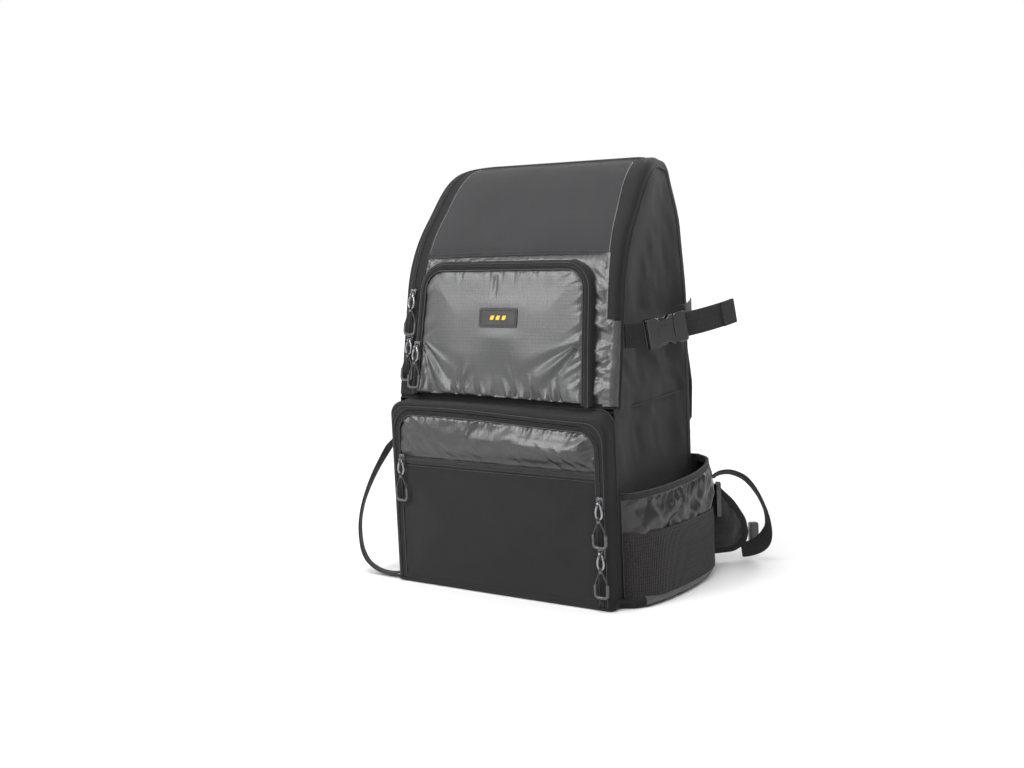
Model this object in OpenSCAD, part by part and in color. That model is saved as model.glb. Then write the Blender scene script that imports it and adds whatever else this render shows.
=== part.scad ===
// Tackle backpack with a clamshell upper compartment, an arched upper pocket,
// a box-shaped lower compartment, side pockets, compression straps and a harness.
// The front faces -Y, the wearer's side faces +Y, and the pack stands on z = 0.

/* [Body] */
// Overall height
body_h = 527; // [500:1:540]
// Width at the front edge of the upper body
front_w = 330; // [310:1:340]
// Width at the back panel
back_w = 282; // [270:1:300]
// Depth from the lower compartment's face to the middle of the base
base_front = 124; // [122:1:130]
// Height of the lower compartment
lower_h = 236; // [225:1:240]
// Lean of the upper front panel
lean = 9.3; // [6:0.1:11]
// Length of the upper front panel's straight stretch
straight_len = 136; // [125:1:140]
// Radius of the back panel's top corner
back_r = 18; // [12:1:22]

/* [Fabric] */
// Thickness of a lined fabric wall
wall = 2.4; // [2:0.1:3]
// Play between separate pieces
gap = 0.3; // [0.2:0.05:0.5]
// Distance from the side seam to the middle of the main zip
zip_in = 14.6; // [13:0.1:18]

/* [Pockets] */
// How far the upper pocket stands out
pocket_out = 12; // [10:0.5:14]
// Half width of the upper pocket's front panel
pocket_half = 126; // [115:1:128]
// Width of the zip band round the upper pocket
pocket_band = 12; // [9:1:13]
// Height of the upper pocket's front panel along the lean
pocket_h = 156; // [140:1:160]
// Thickness of the lower flap with its flat pocket
flap_t = 10.5; // [9:0.5:12]
// Height of the flat pocket's zip
flat_zip_z = 161; // [150:1:170]
// Height of the side pockets
side_pocket_h = 142; // [120:1:150]
// Height of the elastic band on a side pocket
elastic_h = 86; // [60:1:90]

/* [Harness] */
// Width of the compression and hip webbing
web_w = 30; // [20:1:30]
// Thickness of webbing
web_t = 1.6; // [1.2:0.1:2]
// Length of a zip pull below its slider
pull_len = 52; // [44:1:53]

/* [Hidden] */

$fn = 48;
far = 700;
charcoal = [0.20, 0.20, 0.21];
matte = [0.15, 0.15, 0.15];
satin = [0.28, 0.28, 0.29];
webbing = [0.17, 0.17, 0.18];
plastic = [0.06, 0.06, 0.07];
metal = [0.45, 0.45, 0.47];

// Foot and end of the leaning front line, as [y, z]
foot = [-102, lower_h + 2];
lean_up = [sin(lean), cos(lean)];
line_end = foot + straight_len * lean_up;
hood_r = (body_h - line_end[1]) / (1 - sin(lean));
hood_c = [line_end[0] + hood_r * cos(lean), line_end[1] - hood_r * sin(lean)];
back_y = hood_c[0] + back_r;
taper = (front_w - back_w) / 2 / (back_y - foot[0]);
taper_angle = atan(taper);
// Angles on the hood's arc where the hood panel starts and the zip crosses the top
hood_start = 23;
zip_end = 74;
lower_top = lower_h - 14;
lower_half = 156;
flap_z = 5;
base_t = 3;
hinge = [-116, 240];

function half_w(y) = front_w / 2 - (y - foot[0]) * taper;
function arc(c, r, a, b, n) =
    [for (i = [0:n]) let (t = a + (b - a) * i / n) c + r * [-cos(t), sin(t)]];
function reversed(v) = [for (i = [len(v) - 1:-1:0]) v[i]];
function unit(v) = v / norm(v);
function left_of(v) = [-v[1], v[0]];
function heading(p, i) = unit(p[min(i + 1, len(p) - 1)] - p[max(i - 1, 0)]);
function shifted(p, t) = [for (i = [0:len(p) - 1]) p[i] + t * left_of(heading(p, i))];
// Closed outline of a ribbon of thickness t along the path p
function ribbon(p, t) = concat(shifted(p, t / 2), reversed(shifted(p, -t / 2)));
// How much fuller than its arc the hood is at an angle, from its shoulder to the top
function fullness(t) = t < 40 ? 0 : 12.5 * pow(sin(180 * (t - 40) / 52), 2);
// Front, hood and top of the body from the hood angle a to b, at a depth under the skin
function hood(depth, a, b) = [for (i = [0:20]) let (t = a + (b - a) * i / 20)
    hood_c + (hood_r - depth + fullness(t)) * [-cos(t), sin(t)]];
function front_line(depth, z) =
    let (s = (z - foot[1]) / cos(lean)) foot + s * lean_up + depth * [cos(lean), -sin(lean)];
function hood_band(a, b) = concat(hood(0, a, b), reversed(hood(wall, a, b)));
function back_corner(depth) =
    arc([hood_c[0], body_h - back_r], back_r - depth, 90, 180, 6);
function side_outline(depth) = concat(
    [[foot[0], base_t + gap], [foot[0], foot[1]], front_line(depth, foot[1] + 1)],
    hood(depth, lean, 90), back_corner(depth),
    [[back_y - depth, base_t + gap]]);

// A prism along X of an outline in y and z
module prism_x(outline, half) {
    translate([-half, 0, 0]) rotate([90, 0, 90]) linear_extrude(2 * half) polygon(outline);
}

// The body's plan between two depths, narrowed by an inset on both sides
module plan(y0, y1, inset) {
    polygon([[-half_w(y0) + inset, y0], [half_w(y0) - inset, y0],
        [half_w(y1) - inset, y1], [-half_w(y1) + inset, y1]]);
}

// Everything inside the plan, through the full height
module plan_prism(y0, y1, inset) {
    linear_extrude(far) plan(y0, y1, inset);
}

module on_side(side) {
    if (side < 0) mirror([1, 0, 0]) children();
    else children();
}

// Local frame of the leaning front: x, along the lean, and outwards
module on_lean(x, s, out) {
    p = foot + s * lean_up;
    translate([x, p[0], p[1]]) rotate([90 - lean, 0, 0]) translate([0, 0, out]) children();
}

module on_front(x, z) {
    translate([x, -base_front, z]) rotate([90, 0, 0]) children();
}

// --- Shell -------------------------------------------------------------------
// Plan outline of one side pocket's outer face, from its front seam to the back corner
pocket_path = [[167.5, -101], [181, -91], [190, -50], [192, 10], [186, 66], [170, 108],
    [148, 121.5]];

module base_panel() {
    color(satin) linear_extrude(base_t) polygon(concat(
        [[-150, -123], [150, -123], [162, -116]], pocket_path,
        reversed([for (p = pocket_path) [-p[0], p[1]]]), [[-162, -116]]));
}

module back_panel() {
    color(matte) intersection() {
        translate([-back_w, back_y - 3, base_t + gap])
            cube([2 * back_w, 3, body_h - back_r - base_t - 2 * gap]);
        plan_prism(0, back_y, 1);
    }
}

// Stiffening sheet in its sleeve inside the back panel
module frame_sheet() {
    color(plastic) translate([0, back_y - 3 - gap, 0]) rotate([90, 0, 0]) linear_extrude(2)
        difference() {
            translate([-118, 12]) square([236, 470]);
            for (x = [-118, 118], z = [12, 482]) translate([x, z]) circle(r = 24);
        }
}

module side_panel(side) {
    on_side(side) color(matte) intersection() {
        prism_x(side_outline(wall + gap), far / 2);
        linear_extrude(far) polygon([
            [half_w(foot[0]) - wall, foot[0]], [half_w(foot[0]), foot[0]],
            [half_w(back_y - 3 - gap), back_y - 3 - gap],
            [half_w(back_y - 3 - gap) - wall, back_y - 3 - gap]]);
    }
}

module top_panel() {
    color(charcoal) intersection() {
        prism_x(concat(hood(0, zip_end + 4, 90), back_corner(0),
            reversed(concat(hood(wall, zip_end + 4, 90), back_corner(wall)))), far / 2);
        plan_prism(0, back_y, 0);
    }
}

module divider_shelf() {
    color(matte) translate([0, 0, lower_h - wall - 2])
        linear_extrude(wall) plan(foot[0] + gap, back_y - 6, wall + gap);
}

// Fixed half of the lower zip: a lip round the opening and the wall behind it
module lower_gusset() {
    depth = base_front + foot[0] - gap;
    color(matte) difference() {
        on_front(0, 0) mirror([0, 0, 1]) linear_extrude(depth) rounded_top(164, base_t + gap, lower_h, 18);
        on_front(0, 0) translate([0, 0, -depth - 1]) linear_extrude(depth + 1 - wall)
            rounded_top(164 - wall, 0, lower_h - wall, 18 - wall);
        on_front(0, 0) translate([0, 0, -far / 2]) linear_extrude(far)
            rounded_top(lower_half + gap, 0, lower_top + gap, 14);
    }
}

// Flat outline with two rounded upper corners
module rounded_top(half, z0, z1, r) {
    polygon(concat([[half, z0]], arc([half - r, z1 - r], -r, 0, -90, 7),
        arc([-half + r, z1 - r], -r, -90, -180, 7), [[-half, z0]]));
}

// Fixed half of the main zip, from the shelf up both sides and over the top
module main_gusset() {
    top_y = hood(0, zip_end, 90)[0][0];
    end_y = hood(0, zip_end + 3.8, 90)[0][0];
    color(matte) intersection() {
        prism_x(concat([foot], hood(0, lean, zip_end + 3.8),
            reversed(concat([foot + wall * [cos(lean), 0]],
            hood(wall, lean, zip_end + 3.8)))), far / 2);
        linear_extrude(far) difference() {
            plan(foot[0] - 1, end_y, 0);
            plan(foot[0] - 2, top_y, zip_in - gap);
        }
    }
}

// --- Main flap ---------------------------------------------------------------
module flap_zone(y1) {
    linear_extrude(far) plan(foot[0] - 2, y1, zip_in + gap);
}

module hood_panel() {
    color(charcoal) intersection() {
        prism_x(hood_band(hood_start, zip_end - 0.3), far / 2);
        flap_zone(back_y);
    }
}

module front_panel() {
    low = foot[1] + 3;
    color(satin) intersection() {
        prism_x(concat([front_line(0, low)], hood(0, lean, hood_start - 0.1),
            reversed(concat([front_line(wall, low)],
            hood(wall, lean, hood_start - 0.1)))), far / 2);
        flap_zone(back_y);
    }
}

module arch(half, v0, v1, r, flare) {
    polygon(concat([[half + flare, v0]], arc([half - r, v1 - r], -r, 0, -90, 8),
        arc([-half + r, v1 - r], -r, -90, -180, 8), [[-half - flare, v0]]));
}

// Zip band round the upper pocket, standing out from the front panel
module upper_pocket_gusset() {
    half = pocket_half + pocket_band - 7;
    color(matte) on_lean(0, 0, gap) difference() {
        linear_extrude(pocket_out - gap) arch(half, 5, pocket_h + 18, 36, 6);
        translate([0, 0, -1]) linear_extrude(pocket_out + 1)
            arch(half - pocket_band, 9, pocket_h + 6, 28, 5);
    }
}

module upper_pocket_panel() {
    half = pocket_half - 8;
    color(satin) on_lean(0, 0, pocket_out - wall)
        linear_extrude(wall) arch(half, 9 + gap, pocket_h + 5, 27, 5);
}

module patch() {
    color(plastic) on_lean(0, 104, pocket_out + 0.1)
        linear_extrude(1.6) rounded_rect(58, 24, 3);
}

module rounded_rect(w, h, r) {
    square([w - 2 * r, h], center = true);
    square([w, h - 2 * r], center = true);
    for (x = [-1, 1], y = [-1, 1])
        translate([x * (w / 2 - r), y * (h / 2 - r)]) circle(r = r);
}

// --- Lower flap --------------------------------------------------------------
module flap_slice(back, front, z0, z1) {
    half = lower_half - gap;
    on_front(0, 0) translate([0, 0, -back]) linear_extrude(back - front) intersection() {
        rounded_top(half, flap_z, lower_top - gap, 13);
        translate([-half, z0]) square([2 * half, z1 - z0]);
    }
}

module lower_flap_lining() {
    color(matte) flap_slice(flap_t, flap_t - wall, 0, far);
}

// Matte front panel of the flat pocket, held off the lining by its own side walls
module flat_pocket_panel() {
    color(matte) difference() {
        flap_slice(flap_t - wall - 0.1, 0, 0, flat_zip_z - 4);
        translate([-lower_half + 6, -base_front + 2, flap_z + 5])
            cube([2 * lower_half - 12, flap_t, flat_zip_z]);
    }
}

module flat_zip_tape() {
    color(webbing) flap_slice(2, 0, flat_zip_z - 3.9, flat_zip_z + 4);
}

module lower_flap_top() {
    color(satin) flap_slice(flap_t - wall - 0.1, 0, flat_zip_z + 4.1, far);
}

// --- Side pockets ------------------------------------------------------------
module side_pocket(side) {
    on_side(side) color(satin) translate([0, 0, base_t + gap])
        linear_extrude(side_pocket_h - base_t)
        polygon(concat(pocket_path, reversed(shifted(pocket_path, wall))));
}

module elastic_band(side) {
    outer = shifted([for (i = [0:5]) pocket_path[i]], -1.8);
    inner = shifted([for (i = [0:5]) pocket_path[i]], -0.3);
    on_side(side) color(webbing) translate([0, 0, 4]) linear_extrude(elastic_h)
        polygon(concat(inner, reversed(outer)));
}

// --- Zip sliders and pulls ---------------------------------------------------
// Local frame: x across the tape, y along it, z outwards from the tape's face
bail_y = -1.5;
bail_z = 7.2;
pin_r = 1.1;

module zip_slider() {
    color(metal) {
        translate([0, 0, 0.4]) linear_extrude(4) rounded_rect(10, 15, 2.5);
        difference() {
            translate([-1.1, -5.5, 4]) cube([2.2, 9, 5.6]);
            translate([-2, bail_y, bail_z]) rotate([0, 90, 0]) cylinder(r = pin_r + 0.45, h = 4);
        }
    }
}

module zip_pull() {
    end_y = bail_y - pull_len;
    leg_t = 1.8;
    color(webbing) {
        translate([-4.6, bail_y, bail_z]) rotate([0, 90, 0]) cylinder(r = pin_r, h = 9.2);
        translate([0, 0, bail_z - leg_t / 2]) linear_extrude(leg_t) for (side = [-1, 1])
            polygon([[side * 3.1, bail_y + 0.7], [side * 5, bail_y + 0.7],
                [side * 4.4, end_y + 15.4], [side * 2.6, end_y + 15.4]]);
        translate([0, end_y + 9, bail_z - 1.6]) linear_extrude(3.2) difference() {
            rounded_rect(13, 18, 4);
            rounded_rect(6.5, 11.5, 2.5);
        }
    }
}

main_a_s = straight_len - 2;
main_b_s = 75;
upper_s = 66;

function main_zip_x(s) = zip_in - half_w(foot[0] + s * lean_up[0]);

module at_main_a() { on_lean(main_zip_x(main_a_s), main_a_s, 0) children(); }
module at_main_b() { on_lean(main_zip_x(main_b_s), main_b_s, 0) children(); }
module at_upper() { on_lean(-pocket_half - 1, upper_s, pocket_out) children(); }
module at_lower_a() { on_front(lower_half, 130) children(); }
module at_lower_b() { on_front(lower_half, 70) children(); }
module at_flat() { on_front(-lower_half + 11, flat_zip_z) children(); }

// --- Side-release buckles ----------------------------------------------------
// Local frame: x along the strap towards the plug, y outwards, z across the webbing
socket_len = 36;
buckle_t = 11;

module buckle_socket(w) {
    color(plastic) difference() {
        union() {
            translate([0, 0, -w / 2 - 3]) cube([socket_len, buckle_t, w + 6]);
            translate([0, 0, -w / 2 - 3]) cube([6, 5, w + 6]);
        }
        translate([8, 2.2, -w / 2]) cube([socket_len, buckle_t - 4.4, w]);
        translate([-1, 1.6, -w / 2]) cube([6, web_t + 0.8, w]);
    }
}

module buckle_plug(w) {
    tongue = 24;
    color(plastic) translate([socket_len + 0.4, 0, 0]) {
        difference() {
            translate([0, 1, -w / 2 - 3]) cube([18, 9, w + 6]);
            translate([6, 0, -w / 2]) cube([3, buckle_t, w]);
            translate([12, 0, -w / 2]) cube([3, buckle_t, w]);
        }
        for (z = [-w / 2 + 0.5, w / 2 - 5.5, -2])
            translate([-tongue, 2.6, z]) cube([tongue + 1, buckle_t - 5.2, z == -2 ? 4 : 5]);
    }
}

// --- Compression straps ------------------------------------------------------
strap_at = [177, -50, 320];
strap_yaw = 61;
strap_pitch = 9;
tail_len = 74;

module on_strap(side) {
    on_side(side) translate(strap_at) rotate([0, 0, strap_yaw])
        rotate([0, -strap_pitch, 0]) mirror([0, 1, 0]) children();
}

module compression_anchors() {
    seam_x = half_w(-68) + 1.3;
    path = [[seam_x, -68], [seam_x + 5, -61], [strap_at[0] - 0.6, strap_at[1] - 1.8]];
    color(webbing) for (side = [-1, 1])
        on_side(side) translate([0, 0, strap_at[2] - web_w / 2])
            linear_extrude(web_w) polygon(ribbon(path, web_t));
}

module compression_sockets() {
    for (side = [-1, 1]) on_strap(side) buckle_socket(web_w);
}

module compression_plug(side) {
    on_strap(side) buckle_plug(web_w);
}

// The long webbing: its sewn run to the back seam and its loose tail
module compression_webbing(side) {
    start = socket_len + 20;
    tail = [[start, 4], [start + 24, 6.5], [start + 50, 4], [start + tail_len, -3]];
    color(webbing) {
        on_strap(side) translate([0, 0, -web_w / 2]) linear_extrude(web_w)
            polygon(ribbon(tail, web_t));
        on_side(side) translate([0, 0, strap_at[2] + 2]) linear_extrude(web_w)
            polygon(ribbon([[199, 9], [186, 40], [166, 84], [149, 113]], web_t));
    }
}

// --- Harness -----------------------------------------------------------------
strap_side = [[back_y + 6, 486], [146, 480], [164, 448], [171, 390], [170, 320], [163, 245],
    [151, 178]];
strap_inner = [[28, 500], [34, 400], [46, 310], [66, 235], [82, 165]];
strap_outer = [[126, 165], [122, 235], [108, 310], [96, 400], [84, 500]];

module shoulder_strap(side) {
    on_side(side) color(matte) intersection() {
        prism_x(ribbon(strap_side, 11), far / 2);
        translate([0, far / 2, 0]) rotate([90, 0, 0]) linear_extrude(far)
            polygon(concat(strap_inner, strap_outer));
    }
}

module shoulder_ladder_locks() {
    color(plastic) for (side = [-1, 1])
        on_side(side) translate([104, 149.5, 162]) rotate([-10, 0, 0]) difference() {
            cube([36, 6, 26], center = true);
            for (z = [-6, 4]) translate([0, 0, z]) cube([28, 10, 4], center = true);
        }
}

module shoulder_webbing() {
    color(webbing) for (side = [-1, 1]) on_side(side) hull() {
        translate([92, 147, 142]) cube([24, web_t, 6]);
        translate([108, back_y + 1, 34]) cube([24, web_t, 6]);
    }
}

module back_pads() {
    color(matte) for (side = [-1, 1]) on_side(side)
        translate([66, back_y + 0.3, 300]) rotate([-90, 0, 0])
            linear_extrude(13) rounded_rect(96, 250, 22);
}

module lumbar_pad() {
    color(matte) translate([0, back_y + 0.3, 92]) rotate([-90, 0, 0])
        linear_extrude(17) rounded_rect(186, 116, 30);
}

module grab_handle() {
    path = [[-50, back_y + 1.2], [-46, back_y + 14], [-34, back_y + 25], [0, back_y + 28],
        [34, back_y + 25], [46, back_y + 14], [50, back_y + 1.2]];
    color(webbing) translate([0, 0, 492]) linear_extrude(15) polygon(ribbon(path, 4));
}

// Webbing loop sewn into the front seam of the left side
module side_loop() {
    path = [[-164.6, 186], [-190, 160], [-222, 112], [-240, 66], [-238, 32], [-220, 9],
        [-194, 3], [-164.6, 8]];
    color(webbing) translate([0, -103, 0]) rotate([90, 0, 0])
        linear_extrude(19) polygon(ribbon(path, web_t));
}

sternum_z = 372;
sternum_y = 172;

module on_sternum(x) {
    translate([x, sternum_y + 12, sternum_z]) mirror([0, 1, 0]) children();
}

module sternum_webbing() {
    color(webbing) for (x = [-62, 36])
        translate([x, sternum_y + 7.2, sternum_z - 10]) cube([26, web_t, 20]);
}

module sternum_socket() {
    on_sternum(-36 + gap) buckle_socket(20);
}

module sternum_plug() {
    on_sternum(-36 + gap) buckle_plug(20);
}

// --- Hip belt ----------------------------------------------------------------
wing_at = [150, back_y + 7];
wing_yaw = 50;
loop_yaw = 25.6;

module on_wing(side) {
    on_side(side) translate([wing_at[0], wing_at[1], 0]) rotate([0, 0, wing_yaw])
        children();
}

module hip_wing(side) {
    color(matte) on_wing(side) rotate([90, 0, 0]) translate([0, 0, -6]) linear_extrude(12)
        polygon([[0, 12], [42, 12], [58, 20], [64, 34], [60, 54], [44, 80], [22, 102],
            [0, 112]]);
}

module hip_ladder_lock(side) {
    color(plastic) on_wing(side) translate([71.5, 0, 33]) difference() {
        cube([14, 6, 36], center = true);
        for (x = [-2.6, 3.4]) translate([x, 0, 0]) cube([2.6, 8, 28], center = true);
    }
}

module hip_webbing(side) {
    path = [[9, 117], [28, 121], [50, 110], [68, 82], [76, 48], [70, 18], [52, 7]];
    color(webbing) on_side(side) translate([158, 132, 0]) rotate([0, 0, loop_yaw])
        rotate([90, 0, 0]) translate([0, 0, -11]) linear_extrude(22)
        polygon(ribbon(path, web_t));
}

module hip_buckle(side) {
    color(plastic) on_side(side) translate([172, 131.5, 86]) rotate([0, 0, 36])
        difference() {
            cube([6, 13, 46], center = true);
            cube([8, 5, 34], center = true);
        }
}

base_panel();
back_panel();
frame_sheet();
side_panel(-1);  // left_side_panel
side_panel(1);  // right_side_panel
top_panel();
divider_shelf();
lower_gusset();
main_gusset();
side_pocket(-1);  // left_side_pocket
side_pocket(1);  // right_side_pocket
elastic_band(-1);  // left_elastic_band
elastic_band(1);  // right_elastic_band
compression_anchors();
compression_sockets();
compression_plug(-1);  // left_compression_plug
compression_plug(1);  // right_compression_plug
compression_webbing(-1);  // left_compression_webbing
compression_webbing(1);  // right_compression_webbing
shoulder_strap(-1);  // left_shoulder_strap
shoulder_strap(1);  // right_shoulder_strap
shoulder_ladder_locks();
shoulder_webbing();
back_pads();
lumbar_pad();
grab_handle();
side_loop();
sternum_webbing();
sternum_socket();
sternum_plug();
hood_panel();
front_panel();
upper_pocket_gusset();
upper_pocket_panel();
patch();
lower_flap_lining();
flat_pocket_panel();
flat_zip_tape();
lower_flap_top();
hip_wing(-1);  // left_hip_wing
hip_wing(1);  // right_hip_wing
hip_webbing(-1);  // left_hip_webbing
hip_webbing(1);  // right_hip_webbing
hip_ladder_lock(-1);  // left_hip_ladder_lock
hip_ladder_lock(1);  // right_hip_ladder_lock
hip_buckle(-1);  // left_hip_buckle
hip_buckle(1);  // right_hip_buckle
at_main_a() zip_slider();  // main_slider_a
at_main_b() zip_slider();  // main_slider_b
at_upper() zip_slider();  // upper_slider
at_lower_a() zip_slider();  // lower_slider_a
at_lower_b() zip_slider();  // lower_slider_b
at_flat() zip_slider();  // flat_slider
at_main_a() zip_pull();  // main_pull_a
at_main_b() zip_pull();  // main_pull_b
at_upper() zip_pull();  // upper_pull
at_lower_a() zip_pull();  // lower_pull_a
at_lower_b() zip_pull();  // lower_pull_b
at_flat() zip_pull();  // flat_pull
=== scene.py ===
"""Tackle backpack: sewn cloth panels, zips, webbing and padding laid over the CAD frame.

Lengths in the code are millimetres and become metres when a mesh is made.
"""

import math

import bmesh
import bpy
import numpy as np
from mathutils import Matrix, Vector, geometry


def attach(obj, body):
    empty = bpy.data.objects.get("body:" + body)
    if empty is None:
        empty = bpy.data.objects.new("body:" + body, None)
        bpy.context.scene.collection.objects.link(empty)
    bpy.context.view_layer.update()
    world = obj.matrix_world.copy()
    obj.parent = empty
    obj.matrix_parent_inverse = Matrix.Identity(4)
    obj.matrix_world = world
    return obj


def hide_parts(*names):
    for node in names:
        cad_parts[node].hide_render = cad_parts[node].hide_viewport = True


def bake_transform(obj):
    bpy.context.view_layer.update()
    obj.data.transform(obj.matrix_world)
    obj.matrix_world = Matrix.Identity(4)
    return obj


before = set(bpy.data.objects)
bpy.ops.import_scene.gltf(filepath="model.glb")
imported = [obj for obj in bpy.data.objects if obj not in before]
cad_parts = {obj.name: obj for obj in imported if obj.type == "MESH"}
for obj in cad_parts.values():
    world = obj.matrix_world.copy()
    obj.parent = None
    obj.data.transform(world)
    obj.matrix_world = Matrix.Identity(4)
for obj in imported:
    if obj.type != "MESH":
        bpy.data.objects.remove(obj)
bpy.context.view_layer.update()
MM = 0.001

# --- Shape of the body, as in the CAD source ------------------------------------
LEAN = math.radians(9.3)
SL, CL = math.sin(LEAN), math.cos(LEAN)
FOOT = (-102.0, 238.0)
STRAIGHT = 136.0
BODY_H = 527.0
BACK_R = 18.0
END = (FOOT[0] + STRAIGHT * SL, FOOT[1] + STRAIGHT * CL)
HOOD_R = (BODY_H - END[1]) / (1 - SL)
HOOD_C = (END[0] + HOOD_R * CL, END[1] - HOOD_R * SL)
BACK_Y = HOOD_C[0] + BACK_R
TAPER = 24 / (BACK_Y - FOOT[0])
S_TOP = STRAIGHT + HOOD_R * (math.pi / 2 - LEAN)
S_BACK = S_TOP + BACK_R * math.pi / 2
FRONT_Y = -124.0
FLAT_ZIP_Z = 161.0
# Turns of a flat drawing, x to the right and y up, so that it faces the rear or the front
FACING_BACK = Matrix(((1, 0, 0, 0), (0, 0, 1, 0), (0, 1, 0, 0), (0, 0, 0, 1)))
FACING_FRONT = Matrix(((1, 0, 0, 0), (0, 0, -1, 0), (0, 1, 0, 0), (0, 0, 0, 1)))
# The side pocket's seam round the right side, in x and y
POCKET_PATH = [(167.5, -101), (181, -91), (190, -50), (192, 10), (186, 66), (170, 108), (148, 121.5)]


def half_w(y):
    return 165 - (y - FOOT[0]) * TAPER


def s_at(degrees):
    """Distance along the body's profile to a point of the hood's arc."""
    return STRAIGHT + HOOD_R * (math.radians(degrees) - LEAN)


def fullness(t):
    """How much fuller than its arc the hood is at an angle."""
    return np.where(t < 40, 0, 12.5 * np.sin(np.radians(180 * (t - 40) / 52)) ** 2)


def profile(s, h):
    """y and z at a distance s up the front, over the hood and down the back, h outwards."""
    s, h = np.broadcast_arrays(np.asarray(s, float), np.asarray(h, float))
    a = LEAN + (s - STRAIGHT) / HOOD_R
    b = math.pi / 2 + (s - S_TOP) / BACK_R
    line = (FOOT[0] + s * SL - h * CL, FOOT[1] + s * CL + h * SL)
    r = HOOD_R + h + fullness(np.degrees(a))
    arc = (HOOD_C[0] - r * np.cos(a), HOOD_C[1] + r * np.sin(a))
    corner = (HOOD_C[0] - (BACK_R + h) * np.cos(b), BODY_H - BACK_R + (BACK_R + h) * np.sin(b))
    back = (BACK_Y + h, BODY_H - BACK_R - (s - S_BACK))
    pick = [s < STRAIGHT, s < S_TOP, s < S_BACK]
    return tuple(np.select(pick, [line[k], arc[k], corner[k]], back[k]) for k in (0, 1))


def skin(x, s, h):
    y, z = profile(s, h)
    return np.stack(np.broadcast_arrays(np.asarray(x, float), y, z), -1)


def half_s(s):
    return half_w(profile(s, 0)[0])


def front(x, z, h):
    x, z, h = np.broadcast_arrays(*(np.asarray(v, float) for v in (x, z, h)))
    return np.stack([x, FRONT_Y - h, z], -1)


def side(sign):
    def place(y, z, h):
        y, z, h = np.broadcast_arrays(*(np.asarray(v, float) for v in (y, z, h)))
        return np.stack([sign * (half_w(y) + h), y, z], -1)

    return place


# --- Numbers --------------------------------------------------------------------
def lattice(ix, iy, seed):
    h = (ix * 374761393 + iy * 668265263 + seed * 974711) & 0xFFFFFFFF
    h = ((h ^ (h >> 13)) * 1274126177) & 0xFFFFFFFF
    return ((h ^ (h >> 16)) & 0xFFFF) / 32767.5 - 1


def noise(x, y=0.0, seed=0):
    """Smooth noise from -1 to 1 with a grid of 1."""
    x, y = np.broadcast_arrays(np.asarray(x, float), np.asarray(y, float))
    ix, iy = np.floor(x).astype(np.int64), np.floor(y).astype(np.int64)
    fx, fy = x - ix, y - iy
    fx, fy = fx * fx * (3 - 2 * fx), fy * fy * (3 - 2 * fy)
    low = lattice(ix, iy, seed) * (1 - fx) + lattice(ix + 1, iy, seed) * fx
    high = lattice(ix, iy + 1, seed) * (1 - fx) + lattice(ix + 1, iy + 1, seed) * fx
    return low * (1 - fy) + high * fy


def ramp(v, a, b):
    """0 before a, 1 after b, smooth between."""
    t = np.clip((np.asarray(v, float) - a) / (b - a), 0, 1)
    return t * t * (3 - 2 * t)


def bell(v, width):
    return np.exp(-((np.asarray(v, float) / width) ** 2))


def moved(matrix, points):
    m = np.array(matrix)
    return np.asarray(points, float) @ m[:3, :3].T + m[:3, 3]


def unit(v):
    v = np.asarray(v, float)
    return v / np.maximum(np.linalg.norm(v, axis=-1, keepdims=True), 1e-12)


def resampled(points, step, closed=False):
    """The polyline's own points with more between them, at most about step apart."""
    p = np.asarray(points, float)
    q = np.vstack([p, p[:1]]) if closed else p
    out = []
    for a, b in zip(q[:-1], q[1:]):
        n = max(1, round(float(np.linalg.norm(b - a)) / step))
        out += [a + (b - a) * k / n for k in range(n)]
    return np.array(out if closed else out + [q[-1]])


def evenly(points, step):
    """Points at equal steps along a polyline."""
    p = np.asarray(points, float)
    along = np.concatenate([[0], np.cumsum(np.linalg.norm(np.diff(p, axis=0), axis=1))])
    at = np.arange(step / 2, along[-1], step)
    return np.stack([np.interp(at, along, p[:, k]) for k in range(p.shape[1])], 1)


def spline(points, n=10):
    """A smooth curve through the points."""
    p = np.asarray(points, float)
    p = np.vstack([2 * p[0] - p[1], p, 2 * p[-1] - p[-2]])
    t = np.linspace(0, 1, n, endpoint=False)[:, None]
    out = []
    for a, b, c, d in zip(p[:-3], p[1:-2], p[2:-1], p[3:]):
        out.append(0.5 * (2 * b + (c - a) * t + (2 * a - 5 * b + 4 * c - d) * t**2
                          + (3 * b - a - 3 * c + d) * t**3))
    return np.vstack(out + [p[-2:-1]])


def rounded_top(half, z0, z1, r, flare=0.0):
    """Outline of a panel with two rounded upper corners, from its lower right corner round."""
    t = np.radians(np.linspace(0, 90, 10))
    right = np.stack([half - r + r * np.cos(t), z1 - r + r * np.sin(t)], 1)
    right = np.vstack([[[half + flare, z0]], right])
    return np.vstack([right, right[::-1] * [-1, 1]])


def rounded_box(w, h, r, n=5):
    t = np.radians(np.linspace(0, 90, n))
    q = np.stack([w / 2 - r + r * np.cos(t), h / 2 - r + r * np.sin(t)], 1)
    return np.vstack([q, q[::-1] * [-1, 1], q * [-1, -1], q[::-1] * [1, -1]])


def edge_distance(points, loop):
    """Distance of each point to a closed outline, and how far along it the nearest place is."""
    a = np.asarray(loop, float)
    seg = np.roll(a, -1, 0) - a
    long2 = np.maximum((seg**2).sum(1), 1e-12)
    start = np.concatenate([[0], np.cumsum(np.sqrt(long2))[:-1]])
    dist, along = [], []
    for chunk in np.array_split(points, max(1, len(points) // 2000)):
        v = chunk[:, None] - a[None]
        t = np.clip((v * seg).sum(2) / long2, 0, 1)
        d = np.linalg.norm(v - t[..., None] * seg, axis=2)
        k = d.argmin(1)
        row = np.arange(len(chunk))
        dist.append(d[row, k])
        along.append(start[k] + t[row, k] * np.sqrt(long2[k]))
    return np.concatenate(dist), np.concatenate(along)


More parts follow.
